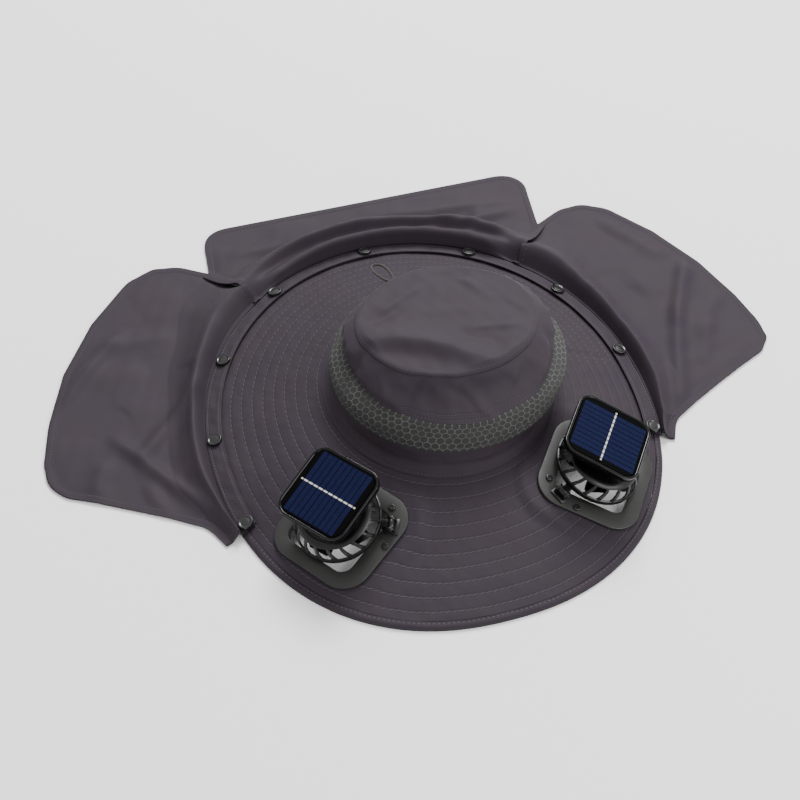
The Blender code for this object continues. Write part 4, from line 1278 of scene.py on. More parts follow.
@dataclass
class QuiltedBrim:
    """The quilted brim with its rows of stitches, and the tape that binds its edge."""

    form: HatForm
    columns: int = 560
    rows: int = 54
    quilt_rows: float = 10.6
    quilt_pitch: float = 9.0 * MM
    puff: float = 0.16 * MM
    tape_columns: int = 420
    joining_seam: Crease = Crease((108.0, -14.0), (170.0, -25.0), -0.9, 2.2)

    def build(self) -> None:
        """Make the brim and its binding."""
        self._cloth()
        self._binding()

    def _cloth(self) -> None:
        """Make the brim's two layers, puffed between the rows and cut for the collars."""
        form = self.form
        turn = np.linspace(0.0, 2.0 * math.pi, self.columns, endpoint=False)
        share = np.linspace(0.0, 1.0, self.rows)[:, None]
        inner_x = form.seam[0] + (form.crown_half[0] - form.under_foot) * np.cos(turn)
        inner_y = form.seam[1] + (form.crown_half[1] - form.under_foot) * np.sin(turn)
        outer_x, outer_y = form.edge_outline(turn, form.binding_width + form.gap)
        x = inner_x + (outer_x - inner_x) * share
        y = inner_y + (outer_y - inner_y) * share
        z = form.brim_height(x, y)
        beat = np.abs(np.sin(math.pi * share * self.quilt_rows)) ** 0.7
        plain = smooth_step((share - 0.06) / 0.05) * smooth_step((1.0 - share) / 0.03)
        free = np.ones_like(x)
        for side in Side:
            free *= smooth_step((form.beyond_plate(x, y, side) - 1.5 * MM) / (4.0 * MM))
        tug = rumple(x, y, 0.011, 0.7) * 0.35 + rumple(x, y, 0.045, 2.1) * 0.65
        lift = self.puff * (beat - 0.5) * plain + 0.7 * MM * tug * plain
        lift = lift + self.joining_seam.lift(x, y)
        top = np.stack([x, y, z + lift * free], axis=2)
        under = top - np.array([0.0, 0.0, form.brim_thickness])
        under[:, :, 2] = np.maximum(under[:, :, 2], 0.02 * MM)
        uv = np.zeros((self.rows, self.columns + 1, 2))
        step = np.hypot(np.diff(x, axis=1, append=x[:, :1]), np.diff(y, axis=1, append=y[:, :1]))
        uv[:, 1:, 0] = np.cumsum(step, axis=1)
        uv[:, :, 1] = share * self.quilt_rows * self.quilt_pitch
        brim = closed_cloth("quilted_brim", top, under, uv, wrap=True)
        for side in Side:
            tool = self._collar_tool(side)
            cut = brim.modifiers.new("collar", "BOOLEAN")
            cut.operation = "DIFFERENCE"
            cut.object = tool
            Bench.apply(brim)
            bpy.data.objects.remove(tool, do_unlink=True)
        Bench.smooth(brim, 60.0)
        stitching = Stitching(pitch=self.quilt_pitch, stitch=5.2 * MM, width=0.8 * MM, groove=2.0 * MM)
        material = Nylon("quilted_nylon_taffeta", stitching=stitching).make()
        Bench.finish(brim, material, HAT, "nylon", ["brim"])

    def _collar_tool(self, side: Side) -> bpy.types.Object:
        """Make the prism that cuts the brim for a fan's collar."""
        form = self.form
        radius = form.plate_radius - form.plate_rim + form.collar_wall + 0.5 * MM
        tool = rounded_plate("collar_tool", form.plate_corner, radius, 2.0 * form.brim_rise, 10)
        tool.data.transform(Matrix.Translation((0.0, 0.0, -form.brim_rise)))
        away = form.hinge_turn(side) + math.pi
        shift = Vector((math.cos(away), math.sin(away), 0.0)) * form.plate_shift
        shift.y -= side.value * form.plate_forward
        turn = Matrix.Rotation(side.value * form.plate_turn, 4, "Z")
        return Bench.settle(tool, form.seat_matrix(side) @ Matrix.Translation(shift) @ turn)

    def _binding(self) -> None:
        """Make the tape that is folded over the edge, with its row of stitches."""
        form = self.form
        turn = np.linspace(0.0, 2.0 * math.pi, self.tape_columns, endpoint=False)
        width = form.binding_width
        profile = [
            (width, 0.86),
            (0.9 * width, 1.0),
            (0.7 * width, 0.92),
            (0.45 * width, 1.0),
            (0.2 * width, 0.94),
            (0.05 * width, 0.66),
            (0.0, 0.40),
            (0.04 * width, 0.12),
        ]
        upper, lower = [], []
        for inset, height in profile:
            x, y = form.edge_outline(turn, inset)
            raised = np.maximum(form.brim_height(x, y) - form.brim_thickness, 0.0)
            wave = 0.18 * MM * rumple(x, y, 0.013, 1.3)
            upper.append(np.stack([x, y, raised + height * form.binding_thickness + wave], axis=1))
            lower.append(
                np.stack([x, y, np.maximum(raised, 0.0) if inset > 0.5 * width else 0.0 * x], axis=1)
            )
        top, under = np.array(upper), np.array(lower)
        uv = np.zeros((len(profile), self.tape_columns + 1, 2))
        step = np.hypot(
            np.diff(top[0, :, 0], append=top[0, :1, 0]), np.diff(top[0, :, 1], append=top[0, :1, 1])
        )
        uv[:, 1:, 0] = np.cumsum(step)
        uv[:, :, 1] = np.array([inset for inset, _ in profile])[:, None]
        tape = closed_cloth("bound_edge", top, under, uv, wrap=True)
        Bench.smooth(tape, 60.0)
        stitching = Stitching(rows=(0.7 * width,), stitch=3.6 * MM, groove=1.2 * MM)
        Bench.finish(
            tape, Nylon("bias_bound_nylon", stitching=stitching).make(), HAT, "nylon", ["brim_binding"]
        )


def rounded_plate(
    name: str, corner: tuple[float, float], radius: float, height: float, segments: int
) -> bpy.types.Object:
    """Model a plate with a rounded rhombus outline, standing on z = 0.

    Args:
        name: the piece's name.
        corner: half of the inner rhombus's two diagonals.
        radius: how far the outline lies outside the rhombus.
        height: the plate's height.
        segments: steps round each corner.

    Returns:
        The plate, in object mode.
    """
    side = corner[0] * corner[1] / math.hypot(*corner)
    grown = (side + radius) / side
    Bench.clear()
    bpy.ops.mesh.primitive_circle_add(vertices=4, radius=1.0, fill_type="NGON")
    piece = Bench.started(name)
    bpy.ops.mesh.select_all(action="SELECT")
    bpy.ops.transform.resize(
        value=(corner[0] * grown, corner[1] * grown, 1.0), center_override=(0.0, 0.0, 0.0)
    )
    Bench.pull((0.0, 0.0, height))
    Bench.pick_edges(piece, lambda middle, way: abs(way.z) > 0.9)
    Bench.round_edges(radius, segments)
    Bench.close()
    return piece


# Crown


# Places are in millimetres from the hat's middle: start, end, height, width
TOP_CREASES = (
    Crease((-30.0, 2.0), (10.0, 22.0), 1.6, 5.0),
    Crease((-40.0, -10.0), (-10.0, 2.0), -1.4, 5.0),
    Crease((44.0, 22.0), (66.0, -14.0), 1.5, 5.0),
    Crease((56.0, 6.0), (78.0, -34.0), -1.3, 5.0),
    Crease((10.0, -40.0), (52.0, -58.0), -1.6, 6.0),
    Crease((30.0, -36.0), (70.0, -44.0), 1.2, 4.0),
    Crease((20.0, 32.0), (52.0, 26.0), -1.2, 5.0),
    Crease((-6.0, -8.0), (40.0, -14.0), 0.9, 7.0),
)


@dataclass
class Crown:
    """The soft crown: foot, honeycomb band, dented upper band and the rolled top panel."""

    form: HatForm
    columns: int = 300
    base: tuple[Section, ...] = (
        (0.000, 1.010, 1.010, 0.00, 0.00),
        (0.060, 0.955, 0.955, 0.15, 0.00),
        (0.170, 0.960, 0.940, 0.40, 0.05),
        (0.300, 1.012, 0.935, 0.80, 0.10),
    )
    mesh: tuple[Section, ...] = (
        (0.305, 1.012, 0.935, 0.80, 0.10),
        (0.480, 1.018, 0.918, 1.00, 0.05),
        (0.667, 0.880, 0.878, 0.95, 0.00),
    )
    upper: tuple[Section, ...] = (
        (0.672, 0.876, 0.874, 0.95, 0.00),
        (0.790, 0.900, 0.800, 1.00, 0.40),
        (0.900, 0.885, 0.722, 1.00, 0.75),
        (1.000, 0.793, 0.663, 1.00, 1.00),
    )
    dents: tuple[Section, ...] = (
        (250.0, 16.0, 0.84, 0.14, 0.0050),
        (283.0, 14.0, 0.74, 0.10, 0.0040),
        (205.0, 18.0, 0.88, 0.12, 0.0040),
        (60.0, 20.0, 0.86, 0.14, 0.0045),
        (120.0, 18.0, 0.84, 0.14, 0.0040),
    )
    # Small folds of the cloth: direction and width in degrees, level, spread, depth, and
    # how far the fold slants in degrees over the crown's height
    folds: tuple[Section, ...] = (
        (238.0, 9.0, 0.84, 0.11, 0.0040, 25.0),
        (274.0, 9.0, 0.87, 0.09, 0.0048, -25.0),
        (256.0, 5.0, 0.88, 0.10, -0.0030, 30.0),
        (304.0, 7.0, 0.80, 0.10, 0.0036, 35.0),
        (232.0, 3.2, 0.80, 0.16, 0.0024, 40.0),
        (262.0, 4.0, 0.84, 0.10, 0.0028, -60.0),
        (271.0, 3.0, 0.74, 0.08, -0.0018, -50.0),
        (296.0, 4.0, 0.82, 0.12, 0.0022, 55.0),
        (310.0, 3.0, 0.76, 0.10, -0.0016, 40.0),
        (216.0, 3.0, 0.76, 0.12, -0.0016, 30.0),
        (192.0, 4.0, 0.86, 0.14, 0.0022, 20.0),
        (330.0, 4.0, 0.84, 0.12, 0.0020, 30.0),
        (350.0, 3.5, 0.80, 0.14, -0.0016, 20.0),
        (14.0, 4.0, 0.86, 0.12, 0.0022, 10.0),
        (35.0, 3.0, 0.80, 0.14, -0.0018, 10.0),
        (76.0, 2.6, 0.80, 0.16, 0.0026, 0.0),
        (88.0, 2.6, 0.82, 0.16, -0.0020, 0.0),
        (100.0, 2.6, 0.80, 0.16, 0.0024, 0.0),
        (112.0, 2.6, 0.82, 0.16, -0.0018, 0.0),
        (140.0, 3.2, 0.84, 0.14, 0.0022, -10.0),
        (160.0, 3.6, 0.80, 0.14, -0.0018, -10.0),
    )
    # The roll of cloth along the front of the top panel: plan place and height in millimetres
    roll: tuple[Section, ...] = (
        (-72.0, -18.0, 0.5),
        (-49.0, -27.0, 4.5),
        (-28.0, -34.0, 8.0),
        (-9.0, -44.0, 9.0),
        (10.0, -57.0, 8.0),
        (25.0, -68.0, 5.5),
        (42.0, -78.0, 2.5),
        (60.0, -74.0, 3.5),
        (76.0, -62.0, 2.0),
    )
    roll_inside: float = 0.017
    roll_outside: float = 0.0095
    rim_drop: float = 0.0012
    sag: float = 0.003

    def build(self) -> None:
        """Make the three bands and the top panel."""
        plain = Stitching(rows=(1.6 * MM,), stitch=2.8 * MM, groove=1.4 * MM)
        double = Stitching(rows=(1.4 * MM, 3.6 * MM), stitch=2.6 * MM, width=0.5 * MM, groove=1.3 * MM)
        self._band(
            "crown_foot",
            self.base,
            26,
            Nylon("crown_foot_nylon", thread="38333B", stitching=plain).make(),
            "nylon",
            "crown_base_band",
        )
        self._band("crown_honeycomb", self.mesh, 24, HoneycombMesh().make(), "mesh", "crown_mesh_band")
        self._band(
            "crown_upper",
            self.upper,
            44,
            Nylon("crown_upper_nylon", thread="38333B", stitching=double).make(),
            "nylon",
            "crown_upper_band",
        )
        self._top()

    def back_drop(self, rise: Array, turn: Array) -> Array:
        """Return how far a crown section sinks towards its back."""
        return self.form.crown_back_drop * rise * rise * 0.5 * (1.0 + np.sin(turn))

    def point(self, section: Array, turn: Array, inset: float, detail: bool) -> Array:
        """Return points of a crown section, dented and folded where the cloth is.

        Args:
            section: rise, width, length, lean and set-back of each row.
            turn: the columns' angles.
            inset: how far inside the outer face the points lie.
            detail: whether the small folds are pressed in.

        Returns:
            Rows by columns by three.
        """
        form = self.form
        rise, width, length, lean, back = (section[:, index][:, None] for index in range(5))
        degrees = np.degrees(turn)[None, :]
        dent = np.zeros((len(section), len(turn)))
        for direction, spread, level, reach, depth in self.dents:
            away = (degrees - direction + 180.0) % 360.0 - 180.0
            dent += depth * np.exp(-((away / spread) ** 2)) * np.exp(-(((rise - level) / reach) ** 2))
        if detail:
            for direction, spread, level, reach, depth, slant in self.folds:
                away = (degrees - direction - slant * (rise - level) + 180.0) % 360.0 - 180.0
                dent += depth * np.exp(-((away / spread) ** 2)) * np.exp(-(((rise - level) / reach) ** 2))
        half_x = width * form.crown_half[0] - inset - dent
        half_y = length * form.crown_half[1] - inset - dent
        base = form.brim_thickness + form.brim_rise + form.gap
        x = form.seam[0] + lean * form.crown_lean + half_x * np.cos(turn)
        y = form.seam[1] + back * form.crown_set_back + half_y * np.sin(turn)
        z = base + rise * form.crown_height - self.back_drop(rise, turn[None, :]) + 0.0 * x
        return np.stack([x, y, z], axis=2)

    def _sections(self, rows: Sequence[Section], count: int) -> Array:
        """Run the crown's sections smoothly through a table's rows."""
        table = np.array(rows)
        levels = np.linspace(table[0, 0], table[-1, 0], count)
        slopes = np.gradient(table, table[:, 0], axis=0)
        place = np.clip(np.searchsorted(table[:, 0], levels, side="right") - 1, 0, len(table) - 2)
        span = (table[place + 1, 0] - table[place, 0])[:, None]
        t = (levels[:, None] - table[place, :1]) / span
        a, b = table[place], table[place + 1]
        ma, mb = slopes[place] * span, slopes[place + 1] * span
        smooth = (
            (
                (2 * t ** 3 - 3 * t ** 2 + 1) * a + (t ** 3 - 2 * t ** 2 + t) * ma
                + (3 * t ** 2 - 2 * t ** 3) * b
            )
            + (t ** 3 - t ** 2) * mb
        )
        smooth[:, 0] = levels
        return smooth

    def _band(
        self,
        name: str,
        rows: Sequence[Section],
        count: int,
        material: bpy.types.Material,
        slot: str,
        node: str,
    ) -> None:
        """Make one band of the crown's wall from its sections."""
        form = self.form
        turn = np.linspace(0.0, 2.0 * math.pi, self.columns, endpoint=False)
        sections = self._sections(rows, count)
        outer = self.point(sections, turn, 0.0, True)
        inner = self.point(sections, turn, form.crown_wall, True)
        wave = self.slack(section_rise=sections[:, 0], around=turn, node=node)
        outward = np.stack([np.cos(turn), np.sin(turn), 0.0 * turn], axis=1)[None]
        outer = outer + outward * wave[..., None]
        uv = np.zeros((count, self.columns + 1, 2))
        middle = outer[count // 2]
        closed = np.vstack([middle, middle[:1]])
        uv[:, 1:, 0] = np.cumsum(np.linalg.norm(np.diff(closed, axis=0), axis=1))[None]
        climb = np.linalg.norm(np.diff(outer[:, 0], axis=0), axis=1)
        uv[:, :, 1] = np.concatenate([[0.0], np.cumsum(climb)])[:, None]
        band = closed_cloth(name, outer, inner, uv, wrap=True)
        Bench.smooth(band, 70.0)
        Bench.finish(band, material, HAT, slot, [node])

    def slack(self, section_rise: Array, around: Array, node: str) -> Array:
        """Return how far loose cloth stands out of a band, held at its two seams."""
        low, high = section_rise[0], section_rise[-1]
        held = np.sin(math.pi * (section_rise - low) / (high - low))[:, None] ** 0.7
        climb = (section_rise * self.form.crown_height)[:, None]
        girth = (around * self.form.crown_half[0])[None]
        broad = rumple(girth + 0.6 * climb, 2.2 * climb, 0.036, 3.3)
        fine = rumple(girth - 0.4 * climb, 1.5 * climb, 0.014, 0.8)
        depth = {"crown_upper_band": 2.1, "crown_mesh_band": 0.5}.get(node, 0.7) * MM
        return held * depth * (0.75 * broad + 0.25 * fine)

    def _rolled(self, x: Array, y: Array) -> Array:
        """Return how far the roll of cloth lifts the top panel, steep in front and gentle behind."""
        nearest = np.full(x.shape, 1.0)
        lift = np.zeros(x.shape)
        path = np.array(self.roll) * MM
        for start, end in zip(path, path[1:]):
            step = end - start
            share = ((x - start[0]) * step[0] + (y - start[1]) * step[1]) / (step[0] ** 2 + step[1] ** 2)
            share = np.clip(share, 0.0, 1.0)
            dx = x - start[0] - share * step[0]
            dy = y - start[1] - share * step[1]
            away = np.hypot(dx, dy)
            reach = np.where(step[0] * dy < step[1] * dx, self.roll_outside, self.roll_inside)
            height = (start[2] + share * step[2]) * np.exp(-((away / reach) ** 2))
            lift = np.where(away < nearest, height, lift)
            nearest = np.minimum(nearest, away)
        return lift

    def _top(self) -> None:
        """Make the top panel, rolled up along its front and slightly sagged."""
        form = self.form
        turn = np.linspace(0.0, 2.0 * math.pi, self.columns, endpoint=False)
        rim = self.point(np.array([self.upper[-1]]), turn, 0.0, True)[0]
        middle_x = form.seam[0] + form.crown_lean
        middle_y = form.seam[1] + form.crown_set_back
        middle_z = (
            form.brim_thickness + form.brim_rise + form.crown_height + 2.0 * form.gap
            + form.crown_wall
        )
        share = np.concatenate([np.linspace(0.994, 0.70, 38), np.linspace(0.68, 0.04, 40)])[:, None]
        x = middle_x + (rim[:, 0] - middle_x)[None] * share
        y = middle_y + (rim[:, 1] - middle_y)[None] * share
        held = smooth_step((1.0 - share) / 0.10)
        z = middle_z + held * (self._rolled(x, y) - self.sag * (1.0 - share))
        z = z - self.back_drop(np.array([[1.0]]), turn[None]) * share
        z = z - self.rim_drop * (1.0 - smooth_step((1.0 - share) / 0.035))
        z = z + held * 0.8 * MM * rumple(x, y, 0.055, 1.9) + held * 0.3 * MM * rumple(x, y, 0.017, 0.4)
        for crease in TOP_CREASES:
            z = z + held * crease.lift(x, y)
        top = np.stack([x, y, z], axis=2)
        under = top - np.array([0.0, 0.0, form.crown_wall])
        uv = np.zeros((len(share), self.columns + 1, 2))
        closed = np.vstack([rim, rim[:1]])
        uv[:, 1:, 0] = np.cumsum(np.linalg.norm(np.diff(closed, axis=0), axis=1))[None]
        uv[:, :, 1] = (1.0 - share) * 0.065
        stitching = Stitching(rows=(2.2 * MM,), stitch=2.6 * MM, groove=1.5 * MM)
        panel = closed_cloth("crown_top_panel", top, under, uv, wrap=True, pole=True)
        Bench.smooth(panel, 70.0)
        Bench.finish(
            panel,
            Nylon("crown_top_nylon", thread="38333B", stitching=stitching).make(),
            HAT,
            "nylon",
            ["crown_top"],
        )


@dataclass
class ElasticLoop:
    """The small elastic loop at the crown's back, a free cord."""

    form: HatForm
    crown: Crown
    diameter: float = 0.002
    points: int = 17
    width: float = 0.0115
    length: float = 0.026
    direction: float = math.radians(108.0)
    rise: float = 0.80
    droop: float = 0.003

    def build(self) -> None:
        """Make the cord along the same points as its solid."""
        section = np.array([(self.rise,) + self.crown.upper[1][1:]])
        root = Vector(self.crown.point(section, np.array([self.direction]), 0.0, False)[0, 0])
        outward = Vector((math.cos(self.direction), math.sin(self.direction), 0.0))
        across = Vector((-outward.y, outward.x, 0.0))
        start = root + outward * (0.5 * self.diameter + 2.0 * self.form.gap)
        curve = bpy.data.curves.new("elastic_loop", "CURVE")
        curve.dimensions = "3D"
        curve.bevel_depth = 0.5 * self.diameter
        curve.bevel_resolution = 5
        curve.use_fill_caps = True
        line = curve.splines.new("POLY")
        line.points.add(self.points - 1)
        for index, point in enumerate(line.points):
            share = index / (self.points - 1)
            swing = math.pi * (2.0 * share - 1.0)
            reach = 0.5 * (1.0 + math.cos(swing))
            sideways = 0.5 * self.width * math.sin(swing) * (0.55 + 0.45 * reach)
            foot = 0.16 * self.width * (2.0 * share - 1.0)
            place = start + outward * (self.length * reach) + across * (sideways + foot)
            place.z -= self.droop * reach * reach
            point.co = (*place, 1.0)
        loop = bpy.data.objects.new("elastic_loop", curve)
        bpy.context.collection.objects.link(loop)
        Bench.finish(loop, BraidedElastic().make(), HAT, "elastic", ["crown_loop"])


# Cape


@dataclass
class CapeLobe:
    """One lobe of the sun cape: a rolled fold beside the brim, then cloth laid on the floor."""

    name: str
    node: str
    start: float
    end: float
    hem: Array
    fold: tuple[Section, ...]
    course: tuple[Section, ...]
    fold_height: float
    fold_spread: float
    creases: tuple[Crease, ...]
    flat_width: float
    columns: int = 170
    fold_rows: int = 46
    flat_rows: int = 60
    hem_width: float = 6.0 * MM
    laps: bool = False


@dataclass
class Cape:
    """The sun cape: the band on the brim's edge and the three lobes sewn to it."""

    form: HatForm
    left_split: float = math.radians(33.0)
    right_split: float = math.radians(41.0)
    side_reach: float = 0.309
    back_depth: float = 0.237
    back_left: float = 0.137
    back_right: float = 0.176
    back_corner: float = 0.022
    split_gap: float = 0.0012
    outline_fill: float = 0.86
    floor_lift: float = 0.0001
    cloth_shown: float = 0.0011
    hem_points: int = 56
    crease_gain: float = 1.5
    sewn_under: float = 0.0012
    lap_width: float = 0.0055
    lap_columns: int = 8
    lap_blend: float = 0.034
    side_hem_rows: tuple[Section, ...] = (
        (0.00, 0.83),
        (0.03, 0.92),
        (0.07, 0.975),
        (0.13, 1.00),
        (0.26, 1.00),
        (0.40, 1.00),
        (0.53, 1.00),
        (0.62, 1.003),
        (0.67, 0.995),
        (0.705, 0.96),
        (0.74, 0.88),
        (0.79, 0.795),
        (0.85, 0.72),
        (0.92, 0.66),
        (1.00, 0.62),
    )
    side_fold: tuple[Section, ...] = (
        (0.00, 0.00),
        (0.10, 0.42),
        (0.20, 0.80),
        (0.30, 1.00),
        (0.38, 0.90),
        (0.52, 0.56),
        (0.74, 0.20),
        (1.00, 0.00),
    )
    back_fold: tuple[Section, ...] = (
        (0.00, 0.00),
        (0.08, 0.80),
        (0.22, 0.92),
        (0.38, 0.62),
        (0.58, 1.00),
        (0.80, 0.58),
        (1.00, 0.00),
    )
    side_course: tuple[Section, ...] = (
        (0.00, 1.10, 1.90),
        (0.12, 1.10, 1.90),
        (0.30, 1.05, 1.30),
        (0.50, 0.95, 1.00),
        (0.75, 0.85, 1.00),
        (0.92, 0.70, 0.60),
        (1.00, 0.62, 0.30),
    )
    back_course: tuple[Section, ...] = (
        (0.00, 0.80, 1.00),
        (0.12, 0.80, 1.00),
        (0.35, 1.00, 0.90),
        (0.60, 1.00, 0.95),
        (0.88, 0.95, 1.10),
        (1.00, 0.95, 1.10),
    )

    def build(self) -> None:
        """Make the band and the three lobes."""
        self._band()
        margin = self.split_gap / float(self.form.edge_radius(np.array([self.left_split]))[0])
        for side, split, creases in (
            (Side.LEFT, self.left_split, LEFT_CREASES),
            (Side.RIGHT, self.right_split, RIGHT_CREASES),
        ):
            lobe = CapeLobe(
                name=f"cape_lobe_{side.label}",
                node=f"cape_{side.label}",
                start=side.value * (split + margin),
                end=side.value * self.form.band_end,
                hem=self._side_hem(side, split),
                fold=self.side_fold,
                course=self.side_course,
                fold_height=0.016,
                fold_spread=0.032,
                creases=creases,
                flat_width=0.30,
            )
            self._lobe(lobe)
        lobe = CapeLobe(
            name="cape_lobe_back",
            node="cape_back",
            start=margin - self.left_split,
            end=self.right_split - margin,
            hem=self._back_hem(),
            fold=self.back_fold,
            course=self.back_course,
            fold_height=0.020,
            fold_spread=0.040,
            creases=BACK_CREASES,
            flat_width=0.32,
            laps=True,
        )
        self._lobe(lobe)

    def _side_hem(self, side: Side, split: float) -> Array:
        """Return the hem of a side lobe from its back edge to its front end."""
        rows = np.array(self.side_hem_rows)
        angle = split + (self.form.band_end - split) * rows[:, 0]
        radius = np.maximum(
            rows[:, 1] * self.side_reach, self.form.edge_radius(angle) + self.form.band_width
        )
        return np.stack(
            [side.value * radius * np.sin(angle), self.form.brim_centre[1] + radius * np.cos(angle)],
            axis=1,
        )

    def _back_hem(self) -> Array:
        """Return the hem of the back lobe from left to right, with rounded corners."""
        reach = self.side_hem_rows[0][1] * self.side_reach
        centre_y = self.form.brim_centre[1]
        points = [(-reach * math.sin(self.left_split), centre_y + reach * math.cos(self.left_split))]
        corner = self.back_corner
        corners = ((corner - self.back_left, 180.0, 90.0), (self.back_right - corner, 90.0, 0.0))
        for centre_x, first, last in corners:
            for step in range(5):
                turn = math.radians(first + (last - first) * step / 4.0)
                points.append(
                    (
                        centre_x + corner * math.cos(turn),
                        self.back_depth - corner + corner * math.sin(turn),
                    ),
                )
        points.append((reach * math.sin(self.right_split), centre_y + reach * math.cos(self.right_split)))
        return np.array(points)

    def _lobe(self, lobe: CapeLobe) -> None:
        """Make one lobe as a sheet with its fold, creases and hem."""
        form = self.form
        lengths = np.concatenate([[0.0], np.cumsum(np.linalg.norm(np.diff(lobe.hem, axis=0), axis=1))])
        spots = np.linspace(0.0, lengths[-1], self.hem_points)
        even = np.stack([np.interp(spots, lengths, lobe.hem[:, k]) for k in range(2)], axis=1)
        outer = spline(even, lobe.columns)
        along = np.linspace(0.0, 1.0, lobe.columns)
        angle = lobe.start + (lobe.end - lobe.start) * along
        if lobe.laps:
            outer, along, angle = self._lapped(outer, along, angle)
        factors = course(lobe.course, np.clip(along, 0.03, 0.97))
        inner_x, inner_y = form.edge_point(angle, form.band_overhang - self.sewn_under)
        inner = np.stack([inner_x, inner_y], axis=1)
        width = np.linalg.norm(outer - inner, axis=1)
        spread = np.minimum(lobe.fold_spread * factors[:, 1], 0.7 * width)
        lift = form.cloth + self.floor_lift
        section = self._section(lobe.fold, lobe.fold_rows)
        full = np.ones(len(along))
        rows = []
        for out, up in section:
            way = out * spread / width
            z = self._rise(out, up, lobe.fold_height * factors[:, 0])
            rows.append((inner + (outer - inner) * way[:, None], z, max(up, 0.0) * full, out * full))
        for step in range(1, lobe.flat_rows + 1):
            share = step / lobe.flat_rows
            way = (spread + (width - spread) * share) / width
            rows.append(
                (inner + (outer - inner) * way[:, None], lift * full, 0.0 * full, (1.0 + share) * full)
            )
        x = np.array([row[0][:, 0] for row in rows])
        y = np.array([row[0][:, 1] for row in rows])
        z = np.array([row[1] for row in rows])
        if lobe.laps:
            z = self._settled(lobe, x, y, z, along, inner)
        outline = np.vstack(
            [
                np.stack([x[:, 0], y[:, 0]], 1),
                np.stack([x[-1], y[-1]], 1),
                np.stack([x[::-1, -1], y[::-1, -1]], 1),
            ],
        )
        v, u = self._to_edge(np.stack([x, y], axis=2).reshape(-1, 2), outline)
        v = v.reshape(x.shape)
        u = u.reshape(x.shape)
        calm = smooth_step(v / (14.0 * MM)) * smooth_step(np.array([row[3] for row in rows]) / 0.25)
        relief = self.crease_gain * sum((crease.lift(x, y) for crease in lobe.creases), np.zeros_like(x))
        loose = 1.5 * MM * (rumple(x, y, 0.085, 1.1) + 0.35) + 0.35 * MM * rumple(x, y, 0.021, 2.7)
        z = (
            z
            + np.maximum(
                relief * (0.25 + 0.75 * calm) + np.maximum(loose, -0.4 * MM) * calm,
                form.cloth * 0.2 - z * 0.15,
            )
        )
        z = z + 0.45 * MM * smooth_step((lobe.hem_width - v) / (1.2 * MM))
        z = np.maximum(z, self.cloth_shown + self.floor_lift + 0.0002)
        uv = np.stack([u, v], axis=2)
        sheet = cloth_grid(lobe.name, np.stack([x, y, z], axis=2), uv, wrap=False)
        builder = bmesh.new()
        builder.from_mesh(sheet.data)
        if sum(face.normal.z for face in builder.faces) < 0.0:
            bmesh.ops.reverse_faces(builder, faces=builder.faces)
        area = sum(face.calc_area() for face in builder.faces)
        builder.to_mesh(sheet.data)
        builder.free()
        wall = sheet.modifiers.new("cloth", "SOLIDIFY")
        wall.thickness = self.cloth_shown
        wall.offset = -1.0
        Bench.apply(sheet)
        Bench.smooth(sheet, 180.0)
        stitching = Stitching(
            rows=(0.88 * lobe.hem_width,), stitch=3.0 * MM, width=0.7 * MM, groove=1.3 * MM
        )
        Bench.finish(
            sheet,
            Nylon(f"hemmed_nylon_{lobe.node}", thread="3A353D", stitching=stitching).make(),
            HAT,
            "nylon",
            [lobe.node],
        )

    def _section(self, fold: Sequence[Section], count: int) -> Array:
        """Return a fold's section as a smooth run of ways out and heights."""
        stretch = np.array([1.0, 0.55])
        return spline(np.array(fold) * stretch, count) / stretch

    def _rise(self, out: Array | float, up: Array | float, height: Array | float) -> Array:
        """Return a fold's height at a way out, level with the band where it starts."""
        form = self.form
        begun = form.binding_thickness + form.band_clearance + form.cloth + 0.5 * MM
        blend = smooth_step(out / 0.06)
        floor = form.cloth + self.floor_lift
        return begun * (1.0 - blend) + floor * blend + np.maximum(up, 0.0) * height

    def _lapped(self, outer: Array, along: Array, angle: Array) -> tuple[Array, Array, Array]:
        """Lengthen a lobe past both its ends, so that its side hems lie on its neighbours.

        Args:
            outer: the hem's plan points.
            along: each column's share of the way along.
            angle: each column's angle from the back.

        Returns:
            The three with the columns of the laps added.
        """
        centre = np.array(self.form.brim_centre)
        radius = float(self.form.edge_radius(angle[:1])[0])
        steps = np.arange(1, self.lap_columns + 1) / self.lap_columns * self.lap_width / radius
        before, after = [], []
        for step in steps:
            for ends, point, way in ((before, outer[0], step), (after, outer[-1], -step)):
                arm = point - centre
                turned = (
                    arm[0] * math.cos(way) - arm[1] * math.sin(way),
                    arm[0] * math.sin(way) + arm[1] * math.cos(way),
                )
                ends.append(centre + np.array(turned))
        outer = np.vstack([before[::-1], outer, after])
        span = angle[-1] - angle[0]
        along = np.concatenate([-steps[::-1] / span, along, 1.0 + steps / span])
        angle = np.concatenate([angle[0] - steps[::-1], angle, angle[-1] + steps])
        return outer, along, angle

    def _settled(
        self, lobe: CapeLobe, x: Array, y: Array, z: Array, along: Array, inner: Array
    ) -> Array:
        """Bring a lobe's ends to the height of its neighbours' folds, and its laps onto them."""
        profile = self._section(self.side_fold, 60)
        height = 0.016 * self.side_course[0][1]
        spread = 0.032 * self.side_course[0][2]
        out = np.hypot(x - inner[None, :, 0], y - inner[None, :, 1]) / spread
        up = np.interp(out, profile[:, 0], profile[:, 1])
        beside = self._rise(out, up, height)
        arc = (lobe.end - lobe.start) * float(self.form.edge_radius(np.array([lobe.start]))[0])
        inside = np.minimum(along, 1.0 - along)[None] * arc
        weight = 1.0 - smooth_step(inside / self.lap_blend)
        lap = 1.0 - smooth_step((inside + 1.0 * MM) / (5.0 * MM))
        return z * (1.0 - weight) + beside * weight + 1.1 * MM * lap

